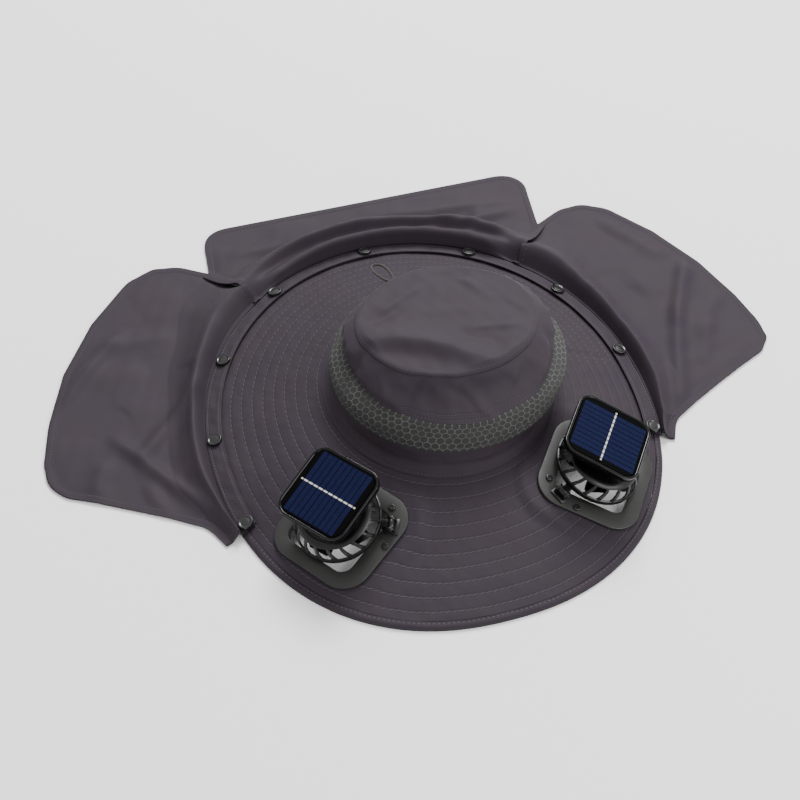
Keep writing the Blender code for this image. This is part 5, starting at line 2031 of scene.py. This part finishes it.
    def _to_edge(self, points: Array, outline: Array) -> tuple[Array, Array]:
        """Return each point's distance from an outline, and how far along it that is."""
        starts, ends = outline[:-1], outline[1:]
        steps = ends - starts
        lengths = np.maximum(np.linalg.norm(steps, axis=1), 1e-9)
        begun = np.concatenate([[0.0], np.cumsum(lengths)[:-1]])
        best = np.full(len(points), 1e9)
        where = np.zeros(len(points))
        for start, step, length, before in zip(starts, steps, lengths, begun):
            offset = points - start
            share = np.clip(offset @ step / (length * length), 0.0, 1.0)
            away = np.linalg.norm(offset - share[:, None] * step, axis=1)
            nearer = away < best
            best = np.where(nearer, away, best)
            where = np.where(nearer, before + share * length, where)
        return best, where

    def _band(self) -> None:
        """Make the strip on the brim's edge that carries the press studs."""
        form = self.form
        columns = 420
        angle = np.linspace(-form.band_end, form.band_end, columns)
        shares = np.linspace(0.0, 1.0, 13)
        upper = []
        for share in shares:
            x, y = form.edge_point(angle, form.band_overhang - form.band_width * share)
            z = form.band_height(x, y) + form.cloth
            edge = 4.0 * share * (1.0 - share)
            z = z + edge * 0.55 * MM * rumple(x, y, 0.016, 0.9) + 0.25 * MM * rumple(x, y, 0.040, 2.2)
            upper.append(
                np.stack([x, y, z + 0.25 * MM * math.exp(-((share - 0.82) / 0.1) ** 2)], axis=1)
            )
        top = np.array(upper)
        under = top - np.array([0.0, 0.0, form.cloth])
        uv = np.zeros((len(shares), columns + 1, 2))
        step = np.linalg.norm(np.diff(top[0], axis=0), axis=1)
        uv[:, 1:columns, 0] = np.cumsum(step)[None]
        uv[:, columns, 0] = uv[:, columns - 1, 0]
        uv[:, :, 1] = (form.band_width * shares)[:, None]
        band = closed_cloth("cape_band_strip", top, under, uv, wrap=False)
        Bench.smooth(band, 60.0)
        stitching = Stitching(rows=(2.2 * MM, 0.82 * form.band_width), stitch=3.0 * MM, groove=1.3 * MM)
        Bench.finish(
            band, Nylon("cape_band_nylon", stitching=stitching).make(), HAT, "nylon", ["cape_band"]
        )


# Places are in millimetres from the hat's middle: start, end, height, width
LEFT_CREASES = (
    Crease((-292.0, 56.0), (-228.0, 128.0), 2.6, 7.0),
    Crease((-252.0, 14.0), (-186.0, -88.0), 2.4, 6.0),
    Crease((-232.0, -14.0), (-172.0, 46.0), 3.0, 7.0),
    Crease((-266.0, 22.0), (-238.0, 36.0), -2.0, 8.0),
    Crease((-262.0, -10.0), (-276.0, -52.0), 1.8, 8.0),
    Crease((-240.0, 118.0), (-186.0, 112.0), 1.6, 9.0),
    Crease((-214.0, 60.0), (-176.0, 66.0), -1.6, 6.0),
    Crease((-232.0, -40.0), (-222.0, -82.0), 1.4, 7.0),
    Crease((-270.0, 92.0), (-214.0, 74.0), 1.3, 12.0),
)
RIGHT_CREASES = (
    Crease((280.0, 76.0), (240.0, 6.0), 3.0, 7.0),
    Crease((246.0, 18.0), (200.0, -92.0), 2.8, 7.0),
    Crease((226.0, 150.0), (262.0, 86.0), 1.8, 9.0),
    Crease((214.0, 96.0), (236.0, 40.0), 1.6, 10.0),
    Crease((290.0, 30.0), (252.0, -14.0), 1.5, 9.0),
    Crease((206.0, 140.0), (222.0, 66.0), -1.4, 9.0),
    Crease((268.0, -4.0), (240.0, -44.0), 1.2, 8.0),
)
BACK_CREASES = (
    Crease((-118.0, 196.0), (10.0, 204.0), 1.8, 7.0),
    Crease((30.0, 214.0), (150.0, 196.0), 2.0, 7.0),
    Crease((-80.0, 176.0), (20.0, 196.0), 1.6, 6.0),
    Crease((60.0, 170.0), (150.0, 186.0), 2.2, 6.0),
    Crease((96.0, 150.0), (124.0, 196.0), 1.6, 7.0),
)


@dataclass
class PressStuds:
    """The nine press-stud caps on the cape's band, black-enamelled with a rolled rim."""

    form: HatForm
    count: int = 9
    step: float = math.radians(28.1)
    radius: float = 0.006
    height: float = 0.0022

    def build(self) -> None:
        """Model one cap and set a copy of it at each stud."""
        cap = self._cap()
        finish = MouldedPlastic("enamelled_press_stud", "0E0D0F", 0.30, relief=0.01, coat=0.4).make()
        form = self.form
        for index in range(self.count):
            angle = self.step * (index - (self.count - 1) / 2.0)
            beyond = form.band_overhang - 0.5 * form.band_width
            x, y = (float(value[0]) for value in form.edge_point(np.array([angle]), beyond))
            step = 0.5 * self.radius
            heights = form.band_height(
                np.array([x, x + step, x - step, x, x]), np.array([y, y, y, y + step, y - step])
            )
            slope_x = float(heights[1] - heights[2]) / (2.0 * step)
            slope_y = float(heights[3] - heights[4]) / (2.0 * step)
            base = float(heights[0]) + form.cloth + 2.0 * form.gap
            normal = Vector((-slope_x, -slope_y, 1.0)).normalized()
            turn = normal.to_track_quat("Z", "Y").to_matrix().to_4x4()
            twin = Bench.copy(cap, f"press_stud_{index + 1}")
            Bench.settle(twin, Matrix.Translation((x, y, base)) @ turn)
            Bench.finish(twin, finish, HAT, "snap_black", [f"snap_{index + 1}"])
        bpy.data.objects.remove(cap, do_unlink=True)

    def _cap(self) -> bpy.types.Object:
        """Model a cap: a low disc with a rolled rim round a shallow dished middle."""
        Bench.clear()
        bpy.ops.mesh.primitive_cylinder_add(
            vertices=40, radius=self.radius, depth=self.height, location=(0.0, 0.0, 0.5 * self.height)
        )
        bpy.ops.object.transform_apply(location=True, rotation=True, scale=True)
        cap = Bench.started("press_stud")
        Bench.pick(cap, lambda middle, normal: normal.z > 0.9)
        bpy.ops.mesh.inset(thickness=0.22 * self.radius)
        bpy.ops.mesh.inset(thickness=0.10 * self.radius, depth=-0.22 * self.height)
        bpy.ops.mesh.inset(thickness=0.30 * self.radius, depth=0.16 * self.height)
        Bench.pick_edges(cap, lambda middle, way: abs(way.z) < 0.1 and middle.z > 0.5 * self.height)
        Bench.round_edges(0.05 * self.radius, 2)
        Bench.close()
        Bench.smooth(cap, 50.0)
        return cap


# Fans


@dataclass
class SolarFan:
    """One fan: plate with collar, hinge, cage, motor, rotor, post, tray and cells."""

    form: HatForm
    side: Side
    cage_radius: float = 0.034
    cage_height: float = 0.0155
    cage_wall: float = 0.0018
    ribs: int = 18
    rib_width: float = 0.0030
    motor_radius: float = 0.0085
    motor_height: float = 0.0040
    rotor_radius: float = 0.0290
    hub_radius: float = 0.0080
    hub_height: float = 0.0060
    blades: int = 5
    knuckle_radius: float = 0.0030
    knuckle_width: float = 0.0060
    ear_wall: float = 0.0020
    ear_radius: float = 0.0034
    pin_radius: float = 0.0013
    rivet_radius: float = 0.0028
    rivet_height: float = 0.0013
    rivet_spread: float = 0.0155
    rivet_inset: float = 0.0025
    panel_side: float = 0.061
    panel_corner: float = 0.0115
    panel_thickness: float = 0.0050
    panel_turn: float = math.radians(26.0)
    panel_set_back: float = 0.0065
    panel_inward: float = 0.0035
    post_height: float = 0.013
    post_radius: float = 0.015

    def build(self, finishes: dict[str, bpy.types.Material]) -> None:
        """Make the fan's pieces on their bodies.

        Args:
            finishes: the plastics and cells that both fans share.
        """
        side = self.side.label
        fan, rotor = f"fan_{side}", f"rotor_{side}"
        Bench.finish(self._plate(), finishes["plate"], HAT, "abs_grey", [f"fan_frame_{side}"])
        for letter in "ab":
            Bench.finish(
                self._rivet(letter), finishes["hinge"], HAT, "abs_black", [f"fan_rivet_{letter}_{side}"]
            )
        Bench.finish(self._yoke(), finishes["hinge"], HAT, "abs_black", [f"fan_bracket_{side}"])
        Bench.finish(self._cage(), finishes["cage"], fan, "abs_black", [f"fan_cage_{side}"])
        Bench.finish(self._motor(), finishes["hinge"], fan, "abs_black", [f"fan_motor_{side}"])
        Bench.finish(self._rotor(), finishes["cage"], rotor, "abs_black", [f"fan_rotor_{side}"])
        Bench.finish(self._post(), finishes["cage"], fan, "abs_black", [f"panel_post_{side}"])
        Bench.finish(self._tray(), finishes["tray"], fan, "gloss_black", [f"panel_tray_{side}"])
        Bench.finish(self._cells(), finishes["cells"], fan, "cell_blue", [f"panel_cells_{side}"])

    @property
    def plate_top(self) -> float:
        """Return the height of the plate's upper side above its seat."""
        return self.form.gap + self.form.plate_thickness

    def _plate(self) -> bpy.types.Object:
        """Model the plate: a rounded slab, opened in the middle, with a collar below."""
        form = self.form
        plate = rounded_plate(
            f"fan_plate_{self.side.label}",
            form.plate_corner,
            form.plate_radius,
            form.plate_thickness,
            14,
        )
        plate.data.transform(Matrix.Translation((0.0, 0.0, form.gap)))
        away = form.hinge_turn(self.side) + math.pi - self.side.value * form.plate_turn
        shift = (math.cos(away) * form.plate_shift, math.sin(away) * form.plate_shift, 0.0)
        Bench.hold(plate)
        bpy.ops.object.mode_set(mode="EDIT")
        Bench.pick(plate, lambda middle, normal: normal.z < -0.9)
        bpy.ops.mesh.inset(thickness=form.plate_rim - form.collar_wall)
        bpy.ops.transform.translate(value=shift)
        Bench.pull((0.0, 0.0, -form.collar_depth - form.gap))
        bpy.ops.mesh.inset(thickness=form.collar_wall)
        Bench.pick(plate, lambda middle, normal: normal.z > 0.9)
        bpy.ops.mesh.inset(thickness=form.plate_rim)
        bpy.ops.transform.translate(value=shift)
        builder = bmesh.from_edit_mesh(plate.data)
        inner = [face for face in builder.faces if len(face.verts) > 8]
        for face in builder.faces:
            face.select = face in inner
        bmesh.update_edit_mesh(plate.data)
        bpy.ops.mesh.delete(type="ONLY_FACE")
        bpy.ops.mesh.select_mode(type="EDGE")
        bpy.ops.mesh.select_all(action="DESELECT")
        builder = bmesh.from_edit_mesh(plate.data)
        for edge in builder.edges:
            edge.select = edge.is_boundary
        bmesh.update_edit_mesh(plate.data)
        bpy.ops.mesh.bridge_edge_loops()
        Bench.close()
        rounding = plate.modifiers.new("edges", "BEVEL")
        rounding.width = 0.7 * MM
        rounding.segments = 3
        rounding.limit_method = "ANGLE"
        rounding.angle_limit = math.radians(50.0)
        Bench.apply(plate)
        Bench.smooth(plate, 40.0)
        place = Matrix.Translation((0.0, -self.side.value * form.plate_forward, 0.0))
        turn = Matrix.Rotation(self.side.value * form.plate_turn, 4, "Z")
        return Bench.settle(plate, form.seat_matrix(self.side) @ place @ turn)

    def _rivet(self, letter: str) -> bpy.types.Object:
        """Model a rivet: a domed rim round a sunk middle."""
        Bench.clear()
        bpy.ops.mesh.primitive_cylinder_add(
            vertices=28,
            radius=self.rivet_radius,
            depth=self.rivet_height,
            location=(0.0, 0.0, 0.5 * self.rivet_height),
        )
        bpy.ops.object.transform_apply(location=True, rotation=True, scale=True)
        rivet = Bench.started(f"plate_rivet_{letter}_{self.side.label}")
        Bench.pick(rivet, lambda middle, normal: normal.z > 0.9)
        bpy.ops.mesh.inset(thickness=0.45 * self.rivet_radius)
        bpy.ops.mesh.inset(thickness=0.08 * self.rivet_radius, depth=-0.45 * self.rivet_height)
        Bench.pick_edges(
            rivet,
            lambda middle, way: abs(way.z) < 0.1
            and middle.z > 0.9 * self.rivet_height
            and middle.xy.length > 0.9 * self.rivet_radius,
        )
        Bench.round_edges(0.3 * self.rivet_radius, 4)
        Bench.close()
        Bench.smooth(rivet, 50.0)
        turn = self.form.hinge_turn(self.side)
        radial = Vector((math.cos(turn), math.sin(turn), 0.0))
        tangent = Vector((-radial.y, radial.x, 0.0))
        way = -1.0 if letter == "a" else 1.0
        place = radial * (self.form.hinge_offset - self.rivet_inset) + tangent * (way * self.rivet_spread)
        place.z = self.plate_top + self.form.gap
        return Bench.settle(rivet, self.form.seat_matrix(self.side) @ Matrix.Translation(place))

    def _slab(
        self, name: str, low: Sequence[float], high: Sequence[float], edge: float
    ) -> bpy.types.Object:
        """Model a slab between two corners with rounded edges."""
        Bench.clear()
        middle = [(a + b) / 2.0 for a, b in zip(low, high)]
        bpy.ops.mesh.primitive_cube_add(
            size=1.0, location=middle, scale=[b - a for a, b in zip(low, high)]
        )
        bpy.ops.object.transform_apply(location=True, rotation=True, scale=True)
        slab = Bench.started(name)
        bpy.ops.mesh.select_all(action="SELECT")
        Bench.round_edges(edge, 2)
        Bench.close()
        return slab

    def _barrel(
        self, name: str, radius: float, low: float, high: float, edge: float, vertices: int = 28
    ) -> bpy.types.Object:
        """Model a short cylinder along y with rounded rims."""
        Bench.clear()
        bpy.ops.mesh.primitive_cylinder_add(
            vertices=vertices,
            radius=radius,
            depth=high - low,
            location=(0.0, 0.5 * (low + high), 0.0),
            rotation=(0.5 * math.pi, 0.0, 0.0),
        )
        bpy.ops.object.transform_apply(location=True, rotation=True, scale=True)
        barrel = Bench.started(name)
        Bench.pick_edges(barrel, lambda middle, way: abs(way.y) < 0.1)
        Bench.round_edges(edge, 2)
        Bench.close()
        return barrel

    def _yoke(self) -> bpy.types.Object:
        """Model the hinge yoke: foot, two ears with round heads, and the pin with its heads."""
        form = self.form
        half = 0.5 * self.knuckle_width + form.gap
        reach = half + self.ear_wall
        foot = form.gap + form.plate_thickness + form.gap - form.pivot_height
        parts = [
            self._slab(
                "yoke",
                (-self.ear_radius - self.ear_wall, -reach - 1.0 * MM, foot),
                (self.ear_radius + 0.8 * MM, reach + 1.0 * MM, foot + 1.2 * MM),
                0.3 * MM,
            ),
        ]
        for low, high in ((-reach, -half), (half, reach)):
            parts.append(
                self._slab(
                    "ear",
                    (-self.ear_radius, low, foot + 0.3 * MM),
                    (self.ear_radius, high, 0.2 * MM),
                    0.25 * MM,
                ),
            )
            parts.append(self._barrel("ear_head", self.ear_radius, low, high, 0.25 * MM))
            outer = high if high > 0.0 else low
            cap_low, cap_high = outer - 0.8 * MM, outer + 0.1 * MM
            if high > 0.0:
                cap_low, cap_high = outer - 0.1 * MM, outer + 0.8 * MM
            parts.append(
                self._barrel("pin_head", 0.62 * self.ear_radius, cap_low, cap_high, 0.25 * MM, 20)
            )
        parts.append(
            self._barrel("pin", self.pin_radius, -half - 0.5 * MM, half + 0.5 * MM, 0.1 * MM, 20)
        )
        yoke = Bench.join(parts, f"hinge_yoke_{self.side.label}")
        Bench.smooth(yoke, 40.0)
        return Bench.settle(yoke, form.pivot_matrix(self.side))

    def _ring(
        self, name: str, profile: Sequence[tuple[float, float]], steps: int = 96
    ) -> bpy.types.Object:
        """Spin a closed profile of radius and height round the z axis."""
        Bench.clear()
        bpy.ops.mesh.primitive_circle_add(
            vertices=len(profile), radius=1.0, fill_type="NGON", rotation=(0.5 * math.pi, 0.0, 0.0)
        )
        bpy.ops.object.transform_apply(location=True, rotation=True, scale=True)
        ring = Bench.started(name)
        builder = bmesh.from_edit_mesh(ring.data)
        builder.verts.ensure_lookup_table()
        for vertex, (radius, height) in zip(builder.verts, profile):
            vertex.co = (radius, 0.0, height)
        bmesh.update_edit_mesh(ring.data)
        bpy.ops.mesh.select_all(action="SELECT")
        bpy.ops.mesh.delete(type="ONLY_FACE")
        bpy.ops.mesh.select_all(action="SELECT")
        bpy.ops.mesh.spin(steps=steps, angle=2.0 * math.pi, center=(0.0, 0.0, 0.0), axis=(0.0, 0.0, 1.0))
        Bench.close()
        return ring

    def _cage(self) -> bpy.types.Object:
        """Model the cage: foot ring, slanted ribs, top ring with its cover, and the hinge arm."""
        form = self.form
        r, h, w = self.cage_radius, self.cage_height, self.cage_wall
        foot = self._ring(
            "cage",
            [
                (r - w, 0.0),
                (r, 0.0),
                (r + 0.1 * MM, 0.6 * MM),
                (r, 0.24 * h),
                (r - 0.5 * w, 0.27 * h),
                (r - w, 0.22 * h),
            ],
        )
        crown = self._ring(
            "cage_crown",
            [
                (0.7 * r, h - w),
                (0.83 * r, 0.9 * h - w),
                (0.85 * r, 0.9 * h - 0.3 * w),
                (0.82 * r, 0.93 * h),
                (0.71 * r, h),
                (0.68 * r, h),
            ],
        )
        cover = self._disc("cage_cover", 0.72 * r, h - w, h, 0.3 * MM, 72)
        rib = self._rib()
        arm_low = (-0.6 * self.knuckle_radius, -0.5 * self.knuckle_width, -self.knuckle_radius)
        reach = form.hinge_offset - r + 0.8 * w
        arm = self._slab(
            "hinge_arm",
            arm_low,
            (reach, 0.5 * self.knuckle_width, 0.75 * self.knuckle_radius),
            0.5 * MM,
        )
        knuckle = self._barrel(
            "knuckle",
            self.knuckle_radius,
            -0.5 * self.knuckle_width,
            0.5 * self.knuckle_width,
            0.3 * MM,
        )
        back = Matrix.Translation((-form.hinge_offset, 0.0, -form.fan_lift))
        for piece in (arm, knuckle):
            piece.data.transform(back)
        cage = Bench.join(
            [foot, crown, cover, *Bench.around(rib, self.ribs), arm, knuckle],
            f"fan_cage_ring_{self.side.label}",
        )
        Bench.smooth(cage, 40.0)
        return Bench.settle(cage, form.fan_matrix(self.side))

    def _disc(
        self, name: str, radius: float, low: float, high: float, edge: float, vertices: int
    ) -> bpy.types.Object:
        """Model a disc along z with rounded rims."""
        Bench.clear()
        bpy.ops.mesh.primitive_cylinder_add(
            vertices=vertices, radius=radius, depth=high - low, location=(0.0, 0.0, 0.5 * (low + high))
        )
        bpy.ops.object.transform_apply(location=True, rotation=True, scale=True)
        disc = Bench.started(name)
        Bench.pick_edges(disc, lambda middle, way: abs(way.z) < 0.1)
        Bench.round_edges(edge, 2)
        Bench.close()
        return disc

    def _rib(self) -> bpy.types.Object:
        """Model one rib: a bar that is drawn up the dome and slants as it climbs."""
        r, h, w = self.cage_radius, self.cage_height, self.cage_wall
        path = ((1.0, 0.16), (0.985, 0.42), (0.95, 0.60), (0.89, 0.78), (0.80, 0.93))
        slant = self.side.value * math.radians(11.0)
        Bench.clear()
        bpy.ops.mesh.primitive_plane_add(
            size=1.0, location=(r - 0.5 * w, 0.0, 0.16 * h), scale=(1.0, 1.0, 1.0)
        )
        bpy.ops.object.transform_apply(location=True, rotation=True, scale=True)
        rib = Bench.started("cage_rib")
        bpy.ops.mesh.select_all(action="SELECT")
        bpy.ops.transform.resize(
            value=(w, self.rib_width, 1.0), center_override=(r - 0.5 * w, 0.0, 0.16 * h)
        )
        last_radius, last_height = path[0]
        for number, (radius, height) in enumerate(path[1:], start=1):
            Bench.pull(((radius - last_radius) * r, 0.0, (height - last_height) * h))
            last_radius, last_height = radius, height
        Bench.close()
        builder = bmesh.new()
        builder.from_mesh(rib.data)
        for vertex in builder.verts:
            share = max(0.0, (vertex.co.z / h - 0.2) / 0.75)
            narrow = 1.0 - 0.25 * share
            vertex.co.y *= narrow
            vertex.co = Matrix.Rotation(slant * share, 3, "Z") @ vertex.co
        builder.to_mesh(rib.data)
        builder.free()
        rounding = rib.modifiers.new("edges", "BEVEL")
        rounding.width = 0.3 * MM
        rounding.segments = 2
        Bench.apply(rib)
        return rib

    def _motor(self) -> bpy.types.Object:
        """Model the motor can: a stepped disc under the cover."""
        top = self.cage_height - self.cage_wall - self.form.gap
        can = self._disc("motor_can", self.motor_radius, top - self.motor_height, top, 0.5 * MM, 48)
        Bench.hold(can)
        bpy.ops.object.mode_set(mode="EDIT")
        Bench.pick(can, lambda middle, normal: normal.z < -0.9)
        bpy.ops.mesh.inset(thickness=0.35 * self.motor_radius)
        bpy.ops.mesh.inset(thickness=0.05 * self.motor_radius, depth=-0.2 * MM)
        Bench.close()
        can.name = f"fan_motor_can_{self.side.label}"
        Bench.smooth(can, 40.0)
        return Bench.settle(can, self.form.fan_matrix(self.side))

    def _rotor(self) -> bpy.types.Object:
        """Model the rotor: a hub with five twisted blades."""
        base = (
            self.cage_height - self.cage_wall - self.form.gap - self.motor_height - 0.4 * MM
            - self.hub_height
        )
        hub = self._disc("rotor_hub", self.hub_radius, 0.0, self.hub_height, 0.8 * MM, 48)
        Bench.clear()
        length = self.rotor_radius - 0.8 * self.hub_radius
        bpy.ops.mesh.primitive_grid_add(
            x_subdivisions=10, y_subdivisions=8, size=1.0, location=(0.0, 0.0, 0.0)
        )
        blade = Bench.started("rotor_blade")
        bpy.ops.mesh.select_all(action="SELECT")
        bpy.ops.transform.resize(value=(length, 1.0, 1.0), center_override=(0.0, 0.0, 0.0))
        bpy.ops.object.mode_set(mode="OBJECT")
        builder = bmesh.new()
        builder.from_mesh(blade.data)
        for vertex in builder.verts:
            share = vertex.co.x / length + 0.5
            chord = (0.36 + 0.30 * math.sin(math.pi * min(share, 0.9) * 0.62)) * self.rotor_radius
            rounded = math.sqrt(max(0.0, 1.0 - max(0.0, (share - 0.82) / 0.18) ** 2)) * 0.25 + 0.75
            vertex.co.y *= chord * rounded
            pitch = self.side.value * math.radians(48.0 - 20.0 * share)
            curl = 0.10 * (1.0 - (2.0 * vertex.co.y / chord) ** 2) * 0.5 * chord
            y, z = vertex.co.y, curl * self.side.value
            vertex.co.y = y * math.cos(pitch) - z * math.sin(pitch)
            vertex.co.z = y * math.sin(pitch) + z * math.cos(pitch)
            vertex.co.x += 0.8 * self.hub_radius + 0.5 * length
            vertex.co.z = 0.5 * self.hub_height + max(-0.0042, min(0.0042, vertex.co.z))
        builder.to_mesh(blade.data)
        builder.free()
        wall = blade.modifiers.new("blade", "SOLIDIFY")
        wall.thickness = 1.1 * MM
        wall.offset = 0.0
        Bench.apply(blade)
        rotor = Bench.join(
            [hub, *Bench.around(blade, self.blades)], f"fan_rotor_blades_{self.side.label}"
        )
        Bench.smooth(rotor, 40.0)
        return Bench.settle(rotor, self.form.fan_matrix(self.side) @ Matrix.Translation((0.0, 0.0, base)))

    @property
    def set_back(self) -> Vector:
        """Return how far the panel stands from the shaft, in the fan's frame."""
        angle, side = self.form.hinge_angle, self.side.value
        backward = Vector((math.sin(angle), side * math.cos(angle), 0.0))
        inward = Vector((-math.cos(angle), side * math.sin(angle), 0.0))
        return backward * self.panel_set_back + inward * self.panel_inward

    def _post(self) -> bpy.types.Object:
        """Model the waisted post that carries the panel."""
        base = self.cage_height + self.form.gap
        Bench.clear()
        bpy.ops.mesh.primitive_circle_add(
            vertices=48, radius=self.post_radius, fill_type="NGON", location=(0.0, 0.0, base)
        )
        bpy.ops.object.transform_apply(location=True, rotation=True, scale=True)
        post = Bench.started(f"panel_post_neck_{self.side.label}")
        steps = 8
        radius = 1.0
        for step in range(1, steps + 1):
            share = step / steps
            grown = 0.72 + 0.33 * (2.0 * share - 1.1) ** 2 + 0.05 * share
            offset = self.set_back * (smooth_step(share) - smooth_step((step - 1) / steps))
            Bench.pick(
                post,
                lambda middle, normal: abs(normal.z) > 0.9
                and middle.z > base + (step - 1.5) / steps * self.post_height,
            )
            Bench.pull((offset.x, offset.y, self.post_height / steps))
            centre = self.set_back * float(smooth_step(share))
            bpy.ops.transform.resize(
                value=(grown / radius, grown / radius, 1.0),
                center_override=(centre.x, centre.y, base + share * self.post_height),
            )
            radius = grown
        Bench.close()
        Bench.smooth(post, 50.0)
        return Bench.settle(post, self.form.fan_matrix(self.side))

    @property
    def tray_base(self) -> float:
        """Return the height of the tray's underside in the fan's frame."""
        return self.cage_height + self.form.gap + self.post_height + self.form.gap

    def _square(
        self, name: str, side: float, corner: float, low: float, high: float, segments: int
    ) -> bpy.types.Object:
        """Model a square plate with round corners between two heights."""
        Bench.clear()
        bpy.ops.mesh.primitive_plane_add(size=side, location=(0.0, 0.0, low))
        bpy.ops.object.transform_apply(location=True, rotation=True, scale=True)
        plate = Bench.started(name)
        bpy.ops.mesh.select_all(action="SELECT")
        Bench.pull((0.0, 0.0, high - low))
        Bench.pick_edges(plate, lambda middle, way: abs(way.z) > 0.9)
        Bench.round_edges(corner, segments)
        Bench.close()
        return plate

    def _tray(self) -> bpy.types.Object:
        """Model the tray: a rounded square slab with a raised rim round its recess."""
        base = self.tray_base
        tray = self._square(
            f"solar_tray_{self.side.label}",
            self.panel_side,
            self.panel_corner,
            base,
            base + self.panel_thickness,
            12,
        )
        Bench.hold(tray)
        bpy.ops.object.mode_set(mode="EDIT")
        Bench.pick(tray, lambda middle, normal: normal.z > 0.9)
        bpy.ops.mesh.inset(thickness=1.9 * MM)
        bpy.ops.mesh.inset(thickness=0.45 * MM, depth=-1.0 * MM)
        Bench.pick(tray, lambda middle, normal: normal.z < -0.9)
        bpy.ops.mesh.inset(thickness=4.0 * MM)
        bpy.ops.mesh.inset(thickness=0.8 * MM, depth=-0.5 * MM)
        Bench.close()
        rounding = tray.modifiers.new("edges", "BEVEL")
        rounding.width = 0.6 * MM
        rounding.segments = 3
        rounding.limit_method = "ANGLE"
        rounding.angle_limit = math.radians(40.0)
        Bench.apply(tray)
        Bench.smooth(tray, 40.0)
        turn = Matrix.Rotation(self.side.value * self.panel_turn, 4, "Z")
        return Bench.settle(
            tray, self.form.fan_matrix(self.side) @ Matrix.Translation(self.set_back) @ turn
        )

    def _cells(self) -> bpy.types.Object:
        """Model the plate of cells and map it in metres."""
        floor = self.tray_base + self.panel_thickness - 1.0 * MM + 0.3 * MM
        cells = self._square(
            f"solar_cells_{self.side.label}", 0.0555, 0.0088, floor, floor + 0.6 * MM, 10
        )
        layer = cells.data.uv_layers.get("seam") or cells.data.uv_layers.new(name="seam")
        for loop in cells.data.loops:
            spot = cells.data.vertices[loop.vertex_index].co
            layer.data[loop.index].uv = (spot.x, spot.y)
        cells.data.uv_layers.active = layer
        Bench.smooth(cells, 40.0)
        turn = Matrix.Rotation(self.side.value * self.panel_turn, 4, "Z")
        return Bench.settle(
            cells, self.form.fan_matrix(self.side) @ Matrix.Translation(self.set_back) @ turn
        )


# Studio


@dataclass
class Studio:
    """The camera at the photograph's angle, a pale floor and soft light."""

    camera_place: tuple[float, float, float] = (-0.2216, -0.7034, 0.8307)
    right: tuple[float, float, float] = (0.9588, -0.2840, 0.0)
    up: tuple[float, float, float] = (0.2143, 0.7236, 0.6561)
    back: tuple[float, float, float] = (-0.1863, -0.6290, 0.7547)
    lens: float = 59.64

    def build(self) -> None:
        """Set the camera, floor, lights and world."""
        data = bpy.data.cameras.new("camera")
        data.lens = self.lens
        data.sensor_width = 36.0
        camera = bpy.data.objects.new("camera", data)
        bpy.context.collection.objects.link(camera)
        rotation = Matrix((self.right, self.up, self.back)).transposed().to_4x4()
        camera.matrix_world = Matrix.Translation(self.camera_place) @ rotation
        bpy.context.scene.camera = camera
        self._floor()
        self._light("key", (1.1, 2.1, 2.7), 1.6, 190.0)
        self._light("fill", (1.5, -1.5, 1.9), 1.4, 45.0)
        world = bpy.data.worlds.new("studio")
        bpy.context.scene.world = world
        world.use_nodes = True
        ground = world.node_tree.nodes["Background"]
        ground.inputs["Color"].default_value = (1.0, 1.0, 1.0, 1.0)
        ground.inputs["Strength"].default_value = 0.8

    def _floor(self) -> None:
        """Lay the pale floor under the hat."""
        Bench.clear()
        bpy.ops.mesh.primitive_plane_add(size=12.0, location=(0.0, 0.0, -0.0002))
        floor = bpy.context.object
        floor.name = "studio_floor"
        material, _, shader = blank_material("pale_paper_floor")
        shader.inputs["Base Color"].default_value = linear("FFFFFF")
        shader.inputs["Roughness"].default_value = 0.9
        floor.data.materials.append(material)

    def _light(self, name: str, place: tuple[float, float, float], size: float, power: float) -> None:
        """Hang a square softbox that looks at the hat."""
        data = bpy.data.lights.new(name, "AREA")
        data.shape = "SQUARE"
        data.size = size
        data.energy = power
        light = bpy.data.objects.new(name, data)
        bpy.context.collection.objects.link(light)
        light.location = place
        light.rotation_euler = (Vector((0.0, 0.0, 0.0)) - Vector(place)).to_track_quat(
            "-Z", "Y"
        ).to_euler(
            
        )


def main() -> None:
    """Build every piece in order and report each one."""
    logging.basicConfig(level=logging.INFO, format="%(name)s: %(message)s")
    Studio().build()
    form = HatForm()
    crown = Crown(form)
    ElasticLoop(form, crown).build()
    QuiltedBrim(form).build()
    crown.build()
    Cape(form).build()
    PressStuds(form).build()
    finishes = {
        "plate": MouldedPlastic("moulded_abs_grey", "282827", 0.45, shine=0.4).make(),
        "hinge": MouldedPlastic("moulded_abs_black", "0D0D0D", 0.36).make(),
        "cage": MouldedPlastic("moulded_abs_cage", "0A0A0A", 0.34, relief=0.02, shine=0.4).make(),
        "tray": MouldedPlastic(
            "polished_abs_tray", "050506", 0.16, relief=0.004, coat=0.1, shine=0.25
        ).make(
            
        ),
        "cells": SolarCells().make(),
    }
    for side in Side:
        SolarFan(form, side).build(finishes)


if __name__ == "__main__":
    main()
